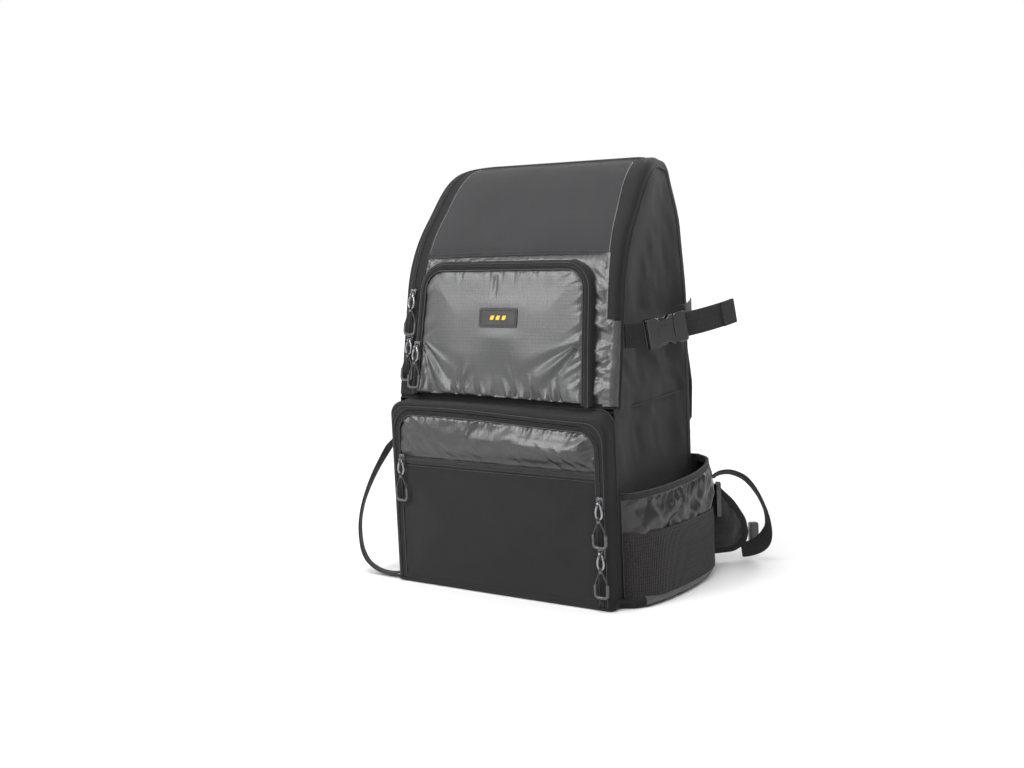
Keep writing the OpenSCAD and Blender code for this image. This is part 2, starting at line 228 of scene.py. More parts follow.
def inside(points, loop):
    a, b = np.asarray(loop, float), np.roll(np.asarray(loop, float), -1, 0)
    x, y = points[:, :1], points[:, 1:]
    crosses = (a[:, 1] > y) != (b[:, 1] > y)
    slope = (b[:, 0] - a[:, 0]) / np.where(b[:, 1] == a[:, 1], 1e-12, b[:, 1] - a[:, 1])
    return (crosses & (x < a[:, 0] + (y - a[:, 1]) * slope)).sum(1) % 2 == 1


# --- Meshes ---------------------------------------------------------------------
def settled(verts):
    """The cloth's sag: drawn in at the top's rear corners, and low at the lower front's right."""
    v = np.array(verts, float)
    x, y, z = v.T
    drawn = (7 * ramp(z, 340, 470) + 15 * ramp(z, 440, 530)) * ramp(y, 10, 115) * ramp(np.abs(x), 60, 135)
    v[:, 0] -= np.sign(x) * drawn * (y < BACK_Y + 10)
    v[:, 2] -= 7.5 * ramp(x, -80, 150) * ramp(z, 167, 208) * ramp(-y, 104, 118)
    return v


def make(name, verts, faces, material, uv=None, smooth=50):
    """A mesh object from millimetre points. uv has a pair for each vertex, in millimetres."""
    mesh = bpy.data.meshes.new(name)
    mesh.from_pydata((settled(verts) * MM).tolist(), [], [list(f) for f in faces])
    mesh.update()
    if uv is not None:
        layer = mesh.uv_layers.new(name="cloth")
        index = np.zeros(len(mesh.loops), np.int32)
        mesh.loops.foreach_get("vertex_index", index)
        layer.data.foreach_set("uv", (np.asarray(uv, float)[index] * MM).astype(np.float32).ravel())
    mesh.polygons.foreach_set("use_smooth", [True] * len(mesh.polygons))
    mesh.set_sharp_from_angle(angle=math.radians(smooth))
    mesh.materials.append(material)
    o = bpy.data.objects.new(name, mesh)
    bpy.context.scene.collection.objects.link(o)
    return o


def outward(verts, faces):
    """The faces turned so that the closed mesh has a positive volume."""
    v = np.asarray(verts, float)
    total = 0.0
    for f in faces:
        a = v[f[0]]
        for i in range(1, len(f) - 1):
            total += float(np.dot(a, np.cross(v[f[i]], v[f[i + 1]])))
    return faces if total > 0 else [list(reversed(f)) for f in faces]


def triangulated(loop, step, holes=()):
    """Points and triangles that fill an outline with an even grid."""
    loops = [resampled(loop, step, True)] + [resampled(h, step, True) for h in holes]
    lo, hi = loops[0].min(0), loops[0].max(0)
    rows = np.arange(lo[1] + step * 0.6, hi[1], step * 0.87)
    grid = [(x + (step / 2 if i % 2 else 0), y) for i, y in enumerate(rows)
            for x in np.arange(lo[0] + step * 0.4, hi[0], step)]
    grid = np.array(grid).reshape(-1, 2)
    grid = grid[inside(grid, loops[0])]
    for h in loops[1:]:
        grid = grid[~inside(grid, h)]
    for lp in loops:
        if len(grid):
            grid = grid[edge_distance(grid, lp)[0] > step * 0.55]
    edges, base = [], 0
    for lp in loops:
        n = len(lp)
        edges += [(base + i, base + (i + 1) % n) for i in range(n)]
        base += n
    points = [Vector(p) for p in np.vstack([*loops, grid])]
    kind = 1 if len(loops) == 1 else 2
    found = geometry.delaunay_2d_cdt(points, edges, [], kind, 1e-5)
    verts = np.array([tuple(v) for v in found[0]])
    faces = [tuple(f) for f in found[2]]
    return verts, faces


def two_sided(tris, n):
    """Faces of a panel whose upper points are followed by its n lower ones, with the rim between."""
    edges = dict.fromkeys((f[i], f[(i + 1) % len(f)]) for f in tris for i in range(len(f)))
    rim = [(a, b) for a, b in edges if (b, a) not in edges]
    return ([list(f) for f in tris] + [[i + n for i in reversed(f)] for f in tris]
            + [[b, a, a + n, b + n] for a, b in rim])


def cloth(name, outline, place, height, material, thick=1.6, step=3.0, holes=()):
    """A sewn panel: an outline in the plane of place(x, y, h), raised by height(x, y, d, t).

    d is the distance to the outline and t the distance along it.
    """
    flat, tris = triangulated(outline, step, holes)
    d, t = edge_distance(flat, np.asarray(outline, float))
    h = height(flat[:, 0], flat[:, 1], d, t) if callable(height) else np.full(len(flat), float(height))
    top = place(flat[:, 0], flat[:, 1], h)
    low = place(flat[:, 0], flat[:, 1], h - thick)
    verts = np.vstack([top, low])
    return make(name, verts, outward(verts, two_sided(tris, len(flat))), material, np.vstack([flat, flat]))


def laid(path, place, h=0.0):
    """Points, directions to the right of travel and normals of a path drawn on a surface."""
    p = np.asarray(path, float)
    points = place(p[:, 0], p[:, 1], h)
    normal = unit(place(p[:, 0], p[:, 1], np.asarray(h) + 1) - points)
    travel = unit(np.gradient(points, axis=0))
    return points, unit(np.cross(travel, normal)), normal


def framed(points, normal):
    """The same for a path in space with a normal, or a normal at each point."""
    p = np.asarray(points, float)
    travel = unit(np.gradient(p, axis=0))
    n = np.broadcast_to(np.asarray(normal, float), p.shape)
    n = unit(n - (n * travel).sum(1, keepdims=True) * travel)
    return p, unit(np.cross(travel, n)), n


def sweep(name, rail, section, material, closed=False):
    """A closed section of (across, out) pairs, or one for each point, run along a rail."""
    points, across, normal = rail
    n = len(points)
    sec = np.asarray(section, float)
    sec = np.repeat(sec[None], n, 0) if sec.ndim == 2 else sec
    m = sec.shape[1]
    verts = (points[:, None] + across[:, None] * sec[..., :1] + normal[:, None] * sec[..., 1:]).reshape(-1, 3)
    faces = []
    for i in range(n if closed else n - 1):
        for j in range(m):
            k = (i + 1) % n
            faces.append([i * m + j, i * m + (j + 1) % m, k * m + (j + 1) % m, k * m + j])
    if not closed:
        faces += [list(range(m))[::-1], [(n - 1) * m + j for j in range(m)]]
    along = np.concatenate([[0], np.cumsum(np.linalg.norm(np.diff(points, axis=0), axis=1))])
    uv = np.stack(np.broadcast_arrays(sec[..., 0] - sec[..., 1] * 0.5, along[:, None]), -1).reshape(-1, 2)
    return make(name, verts, outward(verts, faces), material, uv)


def strap_section(w, t, n=6):
    """Flat webbing with rounded edges, centred."""
    a = np.linspace(-w / 2 + t * 0.5, w / 2 - t * 0.5, n)
    top = [(x, t / 2) for x in a]
    right = [(w / 2 - t * 0.12, t * 0.3), (w / 2, 0), (w / 2 - t * 0.12, -t * 0.3)]
    return top + right + [(x, -t / 2) for x in a[::-1]] + [(-x, -y) for x, y in right]


def round_section(rx, ry=None, n=10):
    t = np.linspace(0, 2 * math.pi, n, endpoint=False)
    return np.stack([rx * np.cos(t), (ry or rx) * np.sin(t)], 1)


def copies(name, verts, faces, rail, material):
    """One mesh of a small shape set at each place of a rail: x across, y along, z out."""
    points, across, normal = rail
    along = np.cross(normal, across)
    v = np.asarray(verts, float)
    out = (points[:, None] + across[:, None] * v[None, :, :1] + along[:, None] * v[None, :, 1:2]
           + normal[:, None] * v[None, :, 2:]).reshape(-1, 3)
    n = len(v)
    all_faces = [[i + k * n for i in f] for k in range(len(points)) for f in faces]
    return make(name, out, all_faces, material, out[:, :2], 30)


def pill(w, length, h):
    """A small raised stitch: a box with its top drawn in."""
    x, y = w / 2, length / 2
    low = [(-x, -y, -h * 0.4), (x, -y, -h * 0.4), (x, y, -h * 0.4), (-x, y, -h * 0.4)]
    mid = [(-x, -y * 0.8, h * 0.4), (x, -y * 0.8, h * 0.4), (x, y * 0.8, h * 0.4), (-x, y * 0.8, h * 0.4)]
    top = [(-x * 0.4, -y * 0.6, h), (x * 0.4, -y * 0.6, h), (x * 0.4, y * 0.6, h), (-x * 0.4, y * 0.6, h)]
    faces = [[3, 2, 1, 0], [8, 9, 10, 11]]
    for b in (0, 4):
        faces += [[b + i, b + (i + 1) % 4, b + 4 + (i + 1) % 4, b + 4 + i] for i in range(4)]
    return low + mid + top, faces


def stitches(name, path, place, h, material, pitch=3.4, length=2.3, w=0.55):
    at = evenly(path, pitch)
    heights = h(at[:, 0], at[:, 1]) if callable(h) else h
    return copies(name, *pill(w, length, 0.45), laid(at, place, heights), material)


def plate(name, outline, h0, h1, matrix, material, holes=(), bevel=0.6):
    """A moulded plate: an outline with holes, extruded, its edges rounded."""
    flat, tris = triangulated(outline, 1e3, holes)
    n = len(flat)
    verts = np.vstack([np.c_[flat, np.full(n, h1)], np.c_[flat, np.full(n, h0)]])
    verts = moved(matrix, verts)
    o = make(name, verts, outward(verts, two_sided(tris, n)), material, verts[:, [0, 2]], 35)
    if bevel:
        m = o.modifiers.new("round", "BEVEL")
        m.width, m.segments, m.limit_method, m.angle_limit = bevel * MM, 2, "ANGLE", math.radians(35)
        m.harden_normals = False
    return o


def mirrored(o, name):
    """A copy of a piece on the other side of the pack."""
    mesh = o.data.copy()
    mesh.transform(Matrix.Scale(-1, 4, (1, 0, 0)))
    mesh.flip_normals()
    twin = bpy.data.objects.new(name, mesh)
    bpy.context.scene.collection.objects.link(twin)
    for m in o.modifiers:
        copy = twin.modifiers.new(m.name, m.type)
        if m.type == "BEVEL":
            copy.width, copy.segments, copy.limit_method, copy.angle_limit = (
                m.width, m.segments, m.limit_method, m.angle_limit)
    return twin


def set_on(o, body, slot=None, *nodes):
    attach(o, body)
    if nodes:
        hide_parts(*nodes)
    return o


# --- Materials ------------------------------------------------------------------
def node(tree, kind, props=None, **inputs):
    n = tree.nodes.new(kind)
    for k, v in (props or {}).items():
        setattr(n, k, v)
    for k, v in inputs.items():
        socket = n.inputs[int(k[1:])] if k[1:].isdigit() else n.inputs[k.replace("_", " ")]
        if isinstance(v, bpy.types.NodeSocket):
            tree.links.new(v, socket)
        else:
            socket.default_value = v
    return n


def calc(tree, operation, a, b=0.0, c=0.0):
    return node(tree, "ShaderNodeMath", {"operation": operation}, i0=a, i1=b, i2=c).outputs[0]


def blank(name, rough, **constants):
    m = bpy.data.materials.new(name)
    m.use_nodes = True
    tree = m.node_tree
    shader = tree.nodes["Principled BSDF"]
    shader.inputs["Roughness"].default_value = rough
    for k, v in constants.items():
        shader.inputs[k.replace("_", " ")].default_value = v
    return m, tree, shader


def flat_axes(tree):
    """The cloth's own two directions, in metres."""
    uv = node(tree, "ShaderNodeUVMap", {"uv_map": "cloth"})
    xyz = node(tree, "ShaderNodeSeparateXYZ", Vector=uv.outputs[0])
    return xyz.outputs[0], xyz.outputs[1], uv.outputs[0]


def solid_axes(tree):
    """Two directions that cross every surface of a piece with no flat cut, in metres."""
    at = node(tree, "ShaderNodeTexCoord").outputs["Object"]
    xyz = node(tree, "ShaderNodeSeparateXYZ", Vector=at)
    slant = calc(tree, "MULTIPLY_ADD", xyz.outputs[1], 0.83, xyz.outputs[0])
    return slant, xyz.outputs[2], at


def line_mask(tree, axis, pitch, width):
    """1 on lines a pitch apart, falling to 0 within the width; both in metres."""
    away = calc(tree, "PINGPONG", calc(tree, "DIVIDE", axis, pitch), 0.5)
    rise = node(tree, "ShaderNodeMapRange", {"interpolation_type": "SMOOTHSTEP"},
                Value=away, From_Min=0.0, From_Max=width / pitch, To_Min=1.0, To_Max=0.0)
    return rise.outputs[0]


def wave(tree, axis, pitch):
    return calc(tree, "SINE", calc(tree, "MULTIPLY", axis, 2 * math.pi / pitch))


def painted(tree, shader, colour, shade, spread, at, broad=(9.0, 0.12)):
    """Base colour times a fine shade from 0 to 1 and a slow change over the whole piece."""
    slow = node(tree, "ShaderNodeTexNoise", Vector=at, Scale=broad[0], Detail=2.0).outputs[0]
    gain = calc(tree, "MULTIPLY_ADD", shade, spread, 1 - spread / 2)
    gain = calc(tree, "MULTIPLY", gain, calc(tree, "MULTIPLY_ADD", slow, 2 * broad[1], 1 - broad[1]))
    mix = node(tree, "ShaderNodeVectorMath", {"operation": "SCALE"})
    mix.inputs[0].default_value = colour
    tree.links.new(gain, mix.inputs["Scale"])
    tree.links.new(mix.outputs[0], shader.inputs["Base Color"])


def raised(tree, shader, height, distance, strength=1.0):
    bump = node(tree, "ShaderNodeBump", Height=height, Distance=distance, Strength=strength)
    tree.links.new(bump.outputs[0], shader.inputs["Normal"])


def woven(name, colour, rough=0.85, pitch=0.0011, depth=0.00012, speck=0.6, sheen=0.08, axes=flat_axes):
    """Plain woven polyester: crossing yarns with a speckle from yarn to yarn."""
    m, tree, shader = blank(name, rough, Sheen_Weight=sheen, Sheen_Roughness=0.5, Specular_IOR_Level=0.12)
    u, v, at = axes(tree)
    yarns = calc(tree, "MULTIPLY", wave(tree, u, pitch), wave(tree, v, pitch))
    fine = node(tree, "ShaderNodeTexNoise", Vector=at, Scale=620.0, Detail=3.0).outputs[0]
    shade = calc(tree, "MULTIPLY_ADD", yarns, 0.18, fine)
    painted(tree, shader, colour, shade, speck, at)
    raised(tree, shader, calc(tree, "MULTIPLY_ADD", yarns, 0.6, fine), depth)
    return m


def ripstop(name, colour, rough=0.42, pitch=0.0042, axes=flat_axes, shine=0.75):
    """Coated satin cloth with a grid of thicker yarns."""
    m, tree, shader = blank(name, rough, Specular_IOR_Level=shine)
    u, v, at = axes(tree)
    across = line_mask(tree, u, pitch, 0.0007)
    along = line_mask(tree, v, pitch, 0.0007)
    grid = calc(tree, "MAXIMUM", across, calc(tree, "MULTIPLY", along, 0.6))
    fine = node(tree, "ShaderNodeTexNoise", Vector=at, Scale=420.0, Detail=2.0).outputs[0]
    shade = calc(tree, "MULTIPLY_ADD", grid, 0.5, calc(tree, "MULTIPLY", fine, 0.4))
    painted(tree, shader, colour, shade, 0.3, at)
    crush = node(tree, "ShaderNodeTexNoise", Vector=at, Scale=60.0, Detail=3.0, Roughness=0.6).outputs[0]
    relief = calc(tree, "MULTIPLY_ADD", crush, 1.0, calc(tree, "MULTIPLY", grid, 0.5))
    raised(tree, shader, relief, 0.00013)
    rough_now = calc(tree, "MULTIPLY_ADD", fine, 0.14, rough - 0.07)
    tree.links.new(rough_now, shader.inputs["Roughness"])
    return m


def ribbed(name, colour, pitch, zigzag, rough=0.7, axes=flat_axes, depth=0.0003, cross=0.0, upright=False):
    """Webbing or elastic: ribs across its length, run through by a zigzag or by fine lines."""
    m, tree, shader = blank(name, rough, Sheen_Weight=0.05, Specular_IOR_Level=0.2)
    u, v, at = axes(tree)
    u, v = (v, u) if upright else (u, v)
    slip = calc(tree, "MULTIPLY", calc(tree, "PINGPONG", calc(tree, "DIVIDE", u, zigzag), 0.5), pitch * 1.4)
    ribs = wave(tree, calc(tree, "ADD", v, slip), pitch)
    if cross:
        ribs = calc(tree, "MULTIPLY_ADD", line_mask(tree, u, cross, cross * 0.3), -0.9, ribs)
    fine = node(tree, "ShaderNodeTexNoise", Vector=at, Scale=500.0, Detail=2.0).outputs[0]
    shade = calc(tree, "MULTIPLY_ADD", ribs, 0.32, fine)
    painted(tree, shader, colour, shade, 0.75, at)
    raised(tree, shader, calc(tree, "MULTIPLY_ADD", fine, 0.4, ribs), depth)
    return m


def air_mesh(name, colour, cell=0.0034, axes=solid_axes):
    """Spacer mesh with rows of small round openings."""
    m, tree, shader = blank(name, 0.9, Sheen_Weight=0.3, Specular_IOR_Level=0.2)
    u, v, at = axes(tree)
    a = wave(tree, u, cell)
    b = wave(tree, v, cell)
    pits = calc(tree, "MULTIPLY", a, b)
    fine = node(tree, "ShaderNodeTexNoise", Vector=at, Scale=700.0, Detail=2.0).outputs[0]
    shade = calc(tree, "MULTIPLY_ADD", pits, 0.5, fine)
    painted(tree, shader, colour, shade, 0.8, at)
    raised(tree, shader, pits, 0.0005)
    return m


def moulded(name, colour, rough, grain=900.0, depth=0.00003, **constants):
    """Moulded plastic, rubber or plated metal with a fine grain and worn patches."""
    m, tree, shader = blank(name, rough, **constants)
    at = node(tree, "ShaderNodeTexCoord").outputs["Object"]
    fine = node(tree, "ShaderNodeTexNoise", Vector=at, Scale=grain, Detail=3.0).outputs[0]
    rub = node(tree, "ShaderNodeTexNoise", Vector=at, Scale=70.0, Detail=4.0).outputs[0]
    painted(tree, shader, colour, fine, 0.2, at)
    tree.links.new(calc(tree, "MULTIPLY_ADD", rub, 0.24, rough - 0.12), shader.inputs["Roughness"])
    raised(tree, shader, fine, depth)
    return m


CANVAS = woven("canvas", (0.018, 0.0176, 0.0174))
CANVAS_SOLID = woven("canvas_solid", (0.018, 0.0176, 0.0174), axes=solid_axes)
HOOD = woven("hood_cloth", (0.037, 0.037, 0.0385), pitch=0.0012, speck=0.7)
RIPSTOP = ripstop("ripstop", (0.037, 0.0378, 0.0378), rough=0.4)
# The lower flap's top is the front ripstop at half its brightness: painted shade.
SHADED_LOWER_RIPSTOP = ripstop("lower_ripstop", (0.019, 0.0193, 0.0193), rough=0.38)
# The side pockets' cloth is the front ripstop at under a third of its brightness: painted shade for the shaded
# sides.
SHADED_POCKET_RIPSTOP = ripstop("pocket_cloth", (0.011, 0.011, 0.0112), rough=0.34, shine=0.6)
BASE_CLOTH = ripstop("base_cloth", (0.05, 0.05, 0.051), rough=0.45, pitch=0.0021)
TAPE = ribbed("zip_tape", (0.03, 0.03, 0.0315), 0.0011, 0.009, rough=0.8, depth=0.0001)
TEETH = moulded("zip_teeth", (0.016, 0.016, 0.017), 0.45)
THREAD = moulded("thread", (0.085, 0.085, 0.088), 0.6)
PALE_THREAD = moulded("pale_thread", (0.32, 0.32, 0.32), 0.6)
WEBBING = ribbed("webbing", (0.024, 0.024, 0.0255), 0.0024, 0.006)
ELASTIC = ribbed("elastic", (0.027, 0.0245, 0.0258), 0.0026, 0.5, rough=0.75, depth=0.0005, cross=0.004,
                 upright=True)
BINDING = ribbed("binding", (0.022, 0.022, 0.023), 0.0014, 0.2, rough=0.75, depth=0.00015)
MESH = air_mesh("air_mesh", (0.024, 0.024, 0.025))
PLASTIC = moulded("buckle_plastic", (0.011, 0.011, 0.012), 0.22, Specular_IOR_Level=0.8)
SHEET = moulded("sheet_plastic", (0.03, 0.03, 0.03), 0.5)
RUBBER = moulded("patch_rubber", (0.014, 0.014, 0.0145), 0.5, depth=0.00006)
YELLOW = moulded("patch_yellow", (0.8, 0.45, 0.01), 0.5)
METAL = moulded("slider_metal", (0.12, 0.12, 0.125), 0.34, Metallic=1.0)
BRIGHT = moulded("pull_metal", (0.3, 0.3, 0.31), 0.3, Metallic=1.0)
CORD = ribbed("pull_cord", (0.05, 0.05, 0.052), 0.0012, 0.003, rough=0.6, depth=0.0001)
PULL_END = moulded("pull_end", (0.05, 0.05, 0.052), 0.3, Specular_IOR_Level=0.7)


# --- Camera, floor and light ----------------------------------------------------
def backdrop(tree, at):
    """How bright the surroundings are in a direction: white behind the pack, dimmer in front."""
    flat = node(tree, "ShaderNodeVectorMath", {"operation": "MULTIPLY"}, i0=at, i1=(1, 1, 0)).outputs[0]
    ahead = node(tree, "ShaderNodeVectorMath", {"operation": "NORMALIZE"}, i0=flat).outputs[0]
    side_on = node(tree, "ShaderNodeVectorMath", {"operation": "DOT_PRODUCT"}, i0=ahead,
                   i1=(-0.59, 0.8, 0)).outputs["Value"]
    return node(tree, "ShaderNodeMapRange", {"interpolation_type": "SMOOTHSTEP"}, Value=side_on, From_Min=-0.4,
                From_Max=0.75, To_Min=0.36, To_Max=1.0).outputs[0]


def studio():
    scene = bpy.context.scene
    cam = bpy.data.objects.new("camera", bpy.data.cameras.new("camera"))
    scene.collection.objects.link(cam)
    right, up = Vector((0.80583, 0.59045, -0.04489)), Vector((-0.03675, 0.12552, 0.99141))
    look = Vector((-0.59101, 0.79726, -0.12285))
    turn = Matrix((right, up, -look)).transposed().to_4x4()
    cam.matrix_world = Matrix.Translation((1.0309, -1.4689, 0.4727)) @ turn
    cam.data.lens, cam.data.sensor_width = 49.16, 36
    scene.camera = cam
    floor = bpy.data.objects.new("floor", bpy.data.meshes.new("floor"))
    bm = bmesh.new()
    bmesh.ops.create_grid(bm, x_segments=4, y_segments=4, size=60)
    bm.to_mesh(floor.data)
    bm.free()
    floor.location = (0, 0, -0.0008)
    scene.collection.objects.link(floor)
    pale, tree, shader = blank("floor_paint", 0.8, Specular_IOR_Level=0.1)
    shader.inputs["Base Color"].default_value = (0.78, 0.78, 0.78, 1)
    # The floor glows: none near the pack, strongest far off behind it. This is painted light that blends the
    # far floor into the white surroundings.
    shader.inputs["Emission Color"].default_value = (1, 1, 1, 1)
    at = node(tree, "ShaderNodeTexCoord").outputs["Object"]
    far = node(tree, "ShaderNodeVectorMath", {"operation": "LENGTH"}, i0=at).outputs["Value"]
    away = node(tree, "ShaderNodeMapRange", {"interpolation_type": "SMOOTHSTEP"}, Value=far, From_Min=0.8,
                From_Max=4.0)
    floor_glow = calc(tree, "MAXIMUM", calc(tree, "SUBTRACT", backdrop(tree, at), 0.42), 0.0)
    tree.links.new(calc(tree, "MULTIPLY", floor_glow, away.outputs[0]), shader.inputs["Emission Strength"])
    floor.data.materials.append(pale)
    world = bpy.data.worlds.new("studio")
    world.use_nodes = True
    world.node_tree.nodes["Background"].inputs[0].default_value = (1, 1, 1, 1)
    tree = world.node_tree
    sky = backdrop(tree, node(tree, "ShaderNodeTexCoord").outputs["Generated"])
    tree.links.new(sky, tree.nodes["Background"].inputs[1])
    scene.world = world
    scene.view_settings.view_transform = "Standard"
    for name, place, size, power in (("key", (-1.35, -2.4, 1.75), 1.5, 74), ("fill", (2.4, -1.7, 1.9), 1.2, 16),
                                     ("top", (0.2, -0.9, 2.8), 1.4, 50), ("rear", (0.4, 2.8, 1.9), 1.5, 45)):
        light = bpy.data.objects.new(name, bpy.data.lights.new(name, "AREA"))
        light.data.energy, light.data.size = power, size
        light.location = place
        light.rotation_euler = (Vector((0, 0, 0.26)) - Vector(place)).to_track_quat("-Z", "Y").to_euler()
        scene.collection.objects.link(light)


studio()

# --- Main zip: its line, tapes, teeth and the cloth round it ---------------------
ZIP_IN = 14.6
ZIP_TOP = s_at(74)
HOOD_SEAM = s_at(23.4)
CORNER = 24.0


def main_zip(off, start=5.0, stop=None):
    """The zip's line in x and s, moved outwards by off, from the lower right end round."""
    turn_s = ZIP_TOP - CORNER
    s = np.linspace(start, turn_s, 60)
    right = np.stack([half_s(s) - ZIP_IN + off, s], 1)
    cx = half_s(turn_s) - ZIP_IN - CORNER
    t = np.radians(np.linspace(10, 90, 9))
    bend = np.stack([cx + (CORNER + off) * np.cos(t), turn_s + (CORNER + off) * np.sin(t)], 1)
    half = np.vstack([right, bend])
    if stop is not None:
        return half[half[:, 1] <= stop]
    return np.vstack([half, half[::-1] * [-1, 1]])


def teeth(name, path, place, body, h):
    """One side's row of coil stitches along a zip."""
    at = evenly(path, 1.7)
    o = copies(name, *pill(1.0, 1.15, 0.5), laid(at, place, h), TEETH)
    return set_on(o, body, "zip_tape")


def tape_section(a0, a1, top=1.0, thick=1.6, ridge=0.45):
    """Tape from a0 at its free coil edge to a1 at its sewn edge, with a ridge by the coil."""
    d = 1 if a1 > a0 else -1
    pts = [(a0, top - 0.4), (a0 + 0.4 * d, top + ridge * 0.6), (a0 + 1.4 * d, top + ridge),
           (a0 + 2.8 * d, top), ((a0 + a1) / 2, top + 0.1), (a1 - 0.6 * d, top), (a1, top - 0.5),
           (a1, top - thick), (a0, top - thick)]
    return pts


def seam_in(s):
    """How far inside the zip's line the hood's right seam lies."""
    return 0.6 - 9.5 * ramp(s, 130, s_at(68))


def puckers(t, d, spacing, reach, height, seed, slant=0.0):
    """Gathers that a seam pulls into cloth: t along the seam, d away from it."""
    d = np.maximum(d, 0)
    u = (t + slant * d) / (0.42 * spacing)
    n = noise(u, 0, seed)
    far = reach * (0.75 + 0.6 * noise(0.5 * u + 7.3, 0, seed + 1))
    return height * np.sign(n) * np.abs(n) ** 0.75 * np.exp(-((d / far) ** 1.4)) * ramp(d, 0, 2)


def main_zip_pieces():
    outer = [(half_s(s) - 4.6, s) for s in np.linspace(4, s_at(77.6), 40)]
    ring = np.vstack([outer, np.array(outer[::-1]) * [-1, 1], main_zip(0.35)[::-1]])
    gusset = cloth("main_gusset_cloth", ring, skin, lambda x, s, d, t: 0.7 + 0.25 * noise(s / 9, x / 20, 3),
                   CANVAS, 1.5, 3.2)
    set_on(gusset, "pack", "matte_fabric", "main_gusset")
    line = main_zip(-0.15)
    rail = laid(line, skin, 0.0)
    set_on(sweep("main_zip_tape_flap", rail, tape_section(-0.2, -13.9, 1.2), CANVAS), "main_flap", "zip_tape")
    set_on(sweep("main_zip_tape_body", rail, tape_section(0.5, 7.5, 1.3, 1.0), CANVAS), "pack", "zip_tape")
    teeth("main_zip_teeth_flap", main_zip(-0.75), skin, "main_flap", 1.75)
    teeth("main_zip_teeth_body", main_zip(0.95), skin, "pack", 1.75)
    for k, off in enumerate((-12.4, 6.2)):
        set_on(stitches(f"main_zip_seam_{k}", main_zip(off), skin, 1.35, THREAD), ("main_flap", "pack")[k])
    # A flap of cloth lies over the right side's coil
    s = np.linspace(104, s_at(66), 70)
    cover = np.stack([half_s(s) - ZIP_IN, s], 1)
    section = np.array([(0, 1.0), (0.2, 2.2), (4, 2.8), (8, 2.8), (10.8, 2.3), (13.2, 0.9), (14.2, -1.4),
                        (13.2, -1.7), (12, 0), (8, 1.6), (4, 1.7), (0.4, 1.0)])
    section = np.repeat(section[None], len(s), 0)
    section[..., 0] += seam_in(s)[:, None] * (1 - section[..., 0] / 14.2).clip(0, 1)
    set_on(sweep("zip_cover", laid(cover, skin), section, CANVAS), "main_flap", "matte_fabric")


main_zip_pieces()


def corner_rolls():
    """Cloth that turns round the upper body's side edges, with a piped seam."""
    s = np.concatenate([np.linspace(0, S_TOP, 110), np.linspace(S_TOP + 3, S_BACK, 8),
                        np.linspace(S_BACK + 8, S_BACK + 500, 60)])
    rail = laid(np.stack([half_s(s), s], 1), skin)
    section = [(-6, 0.6), (-3.5, 0.7), (-1.4, -0.4), (0.1, -2.8), (0.6, -6), (0.5, -11.4), (-0.9, -11.4),
               (-0.9, -6), (-1.8, -3.4), (-3.4, -1.2), (-6, -0.9)]
    roll = sweep("edge_roll_right", rail, section, CANVAS)
    low_s = np.linspace(3, 103.2, 60)
    wrap = np.stack([half_s(low_s), low_s], 1)
    fold = np.repeat(np.array([(-8, 2.6), (-5.4, 2.9), (-2.8, 2.2), (-0.2, 0.4), (1.0, -2.4), (1.3, -5.2),
                               (0.6, -5.4), (0, -2.6), (-1.2, -0.6), (-3.4, 0.9), (-8, 1.2)])[None], 60, 0)
    fold[..., 1] += (0.7 * noise(low_s / 4.6, 0, 28))[:, None] * (fold[..., 1] > 1)
    fold[..., 0] += (0.4 * noise(low_s / 6.1, 0, 29))[:, None]
    foot = (1 - ramp(low_s, 40, 58))[:, None]
    fold[:, [0, 10], 0] -= 7 * foot
    fold[:, [0, 1, 2], 1] += 2.0 * foot
    set_on(sweep("edge_wrap_right", laid(wrap, skin), fold, RIPSTOP), "main_flap", "ripstop_fabric")
    pipe = sweep("edge_pipe_right", laid(np.stack([half_s(s) + 0.5, s], 1), skin, -11.0),
                 round_section(1.25), BINDING)
    for o in (roll, pipe):
        set_on(o, "pack", "matte_fabric")
        set_on(mirrored(o, o.name.replace("right", "left")), "pack", "matte_fabric")


corner_rolls()


# --- Hood, front and top cloth ---------------------------------------------------
def hood_height(x, s, d, t):
    base = 1.1 + 1.7 * (1 - np.exp(-d / 9))
    slack = (1.5 * noise(x / 75, s / 62, 11) * ramp(d, 6, 40)
             + 0.5 * noise(x / 21 + s / 60, s / 34, 12) * ramp(d, 3, 20))
    gather = 0.55 * noise(t / 7.5, 0, 13) * np.exp(-d / 11)
    return base + slack + gather


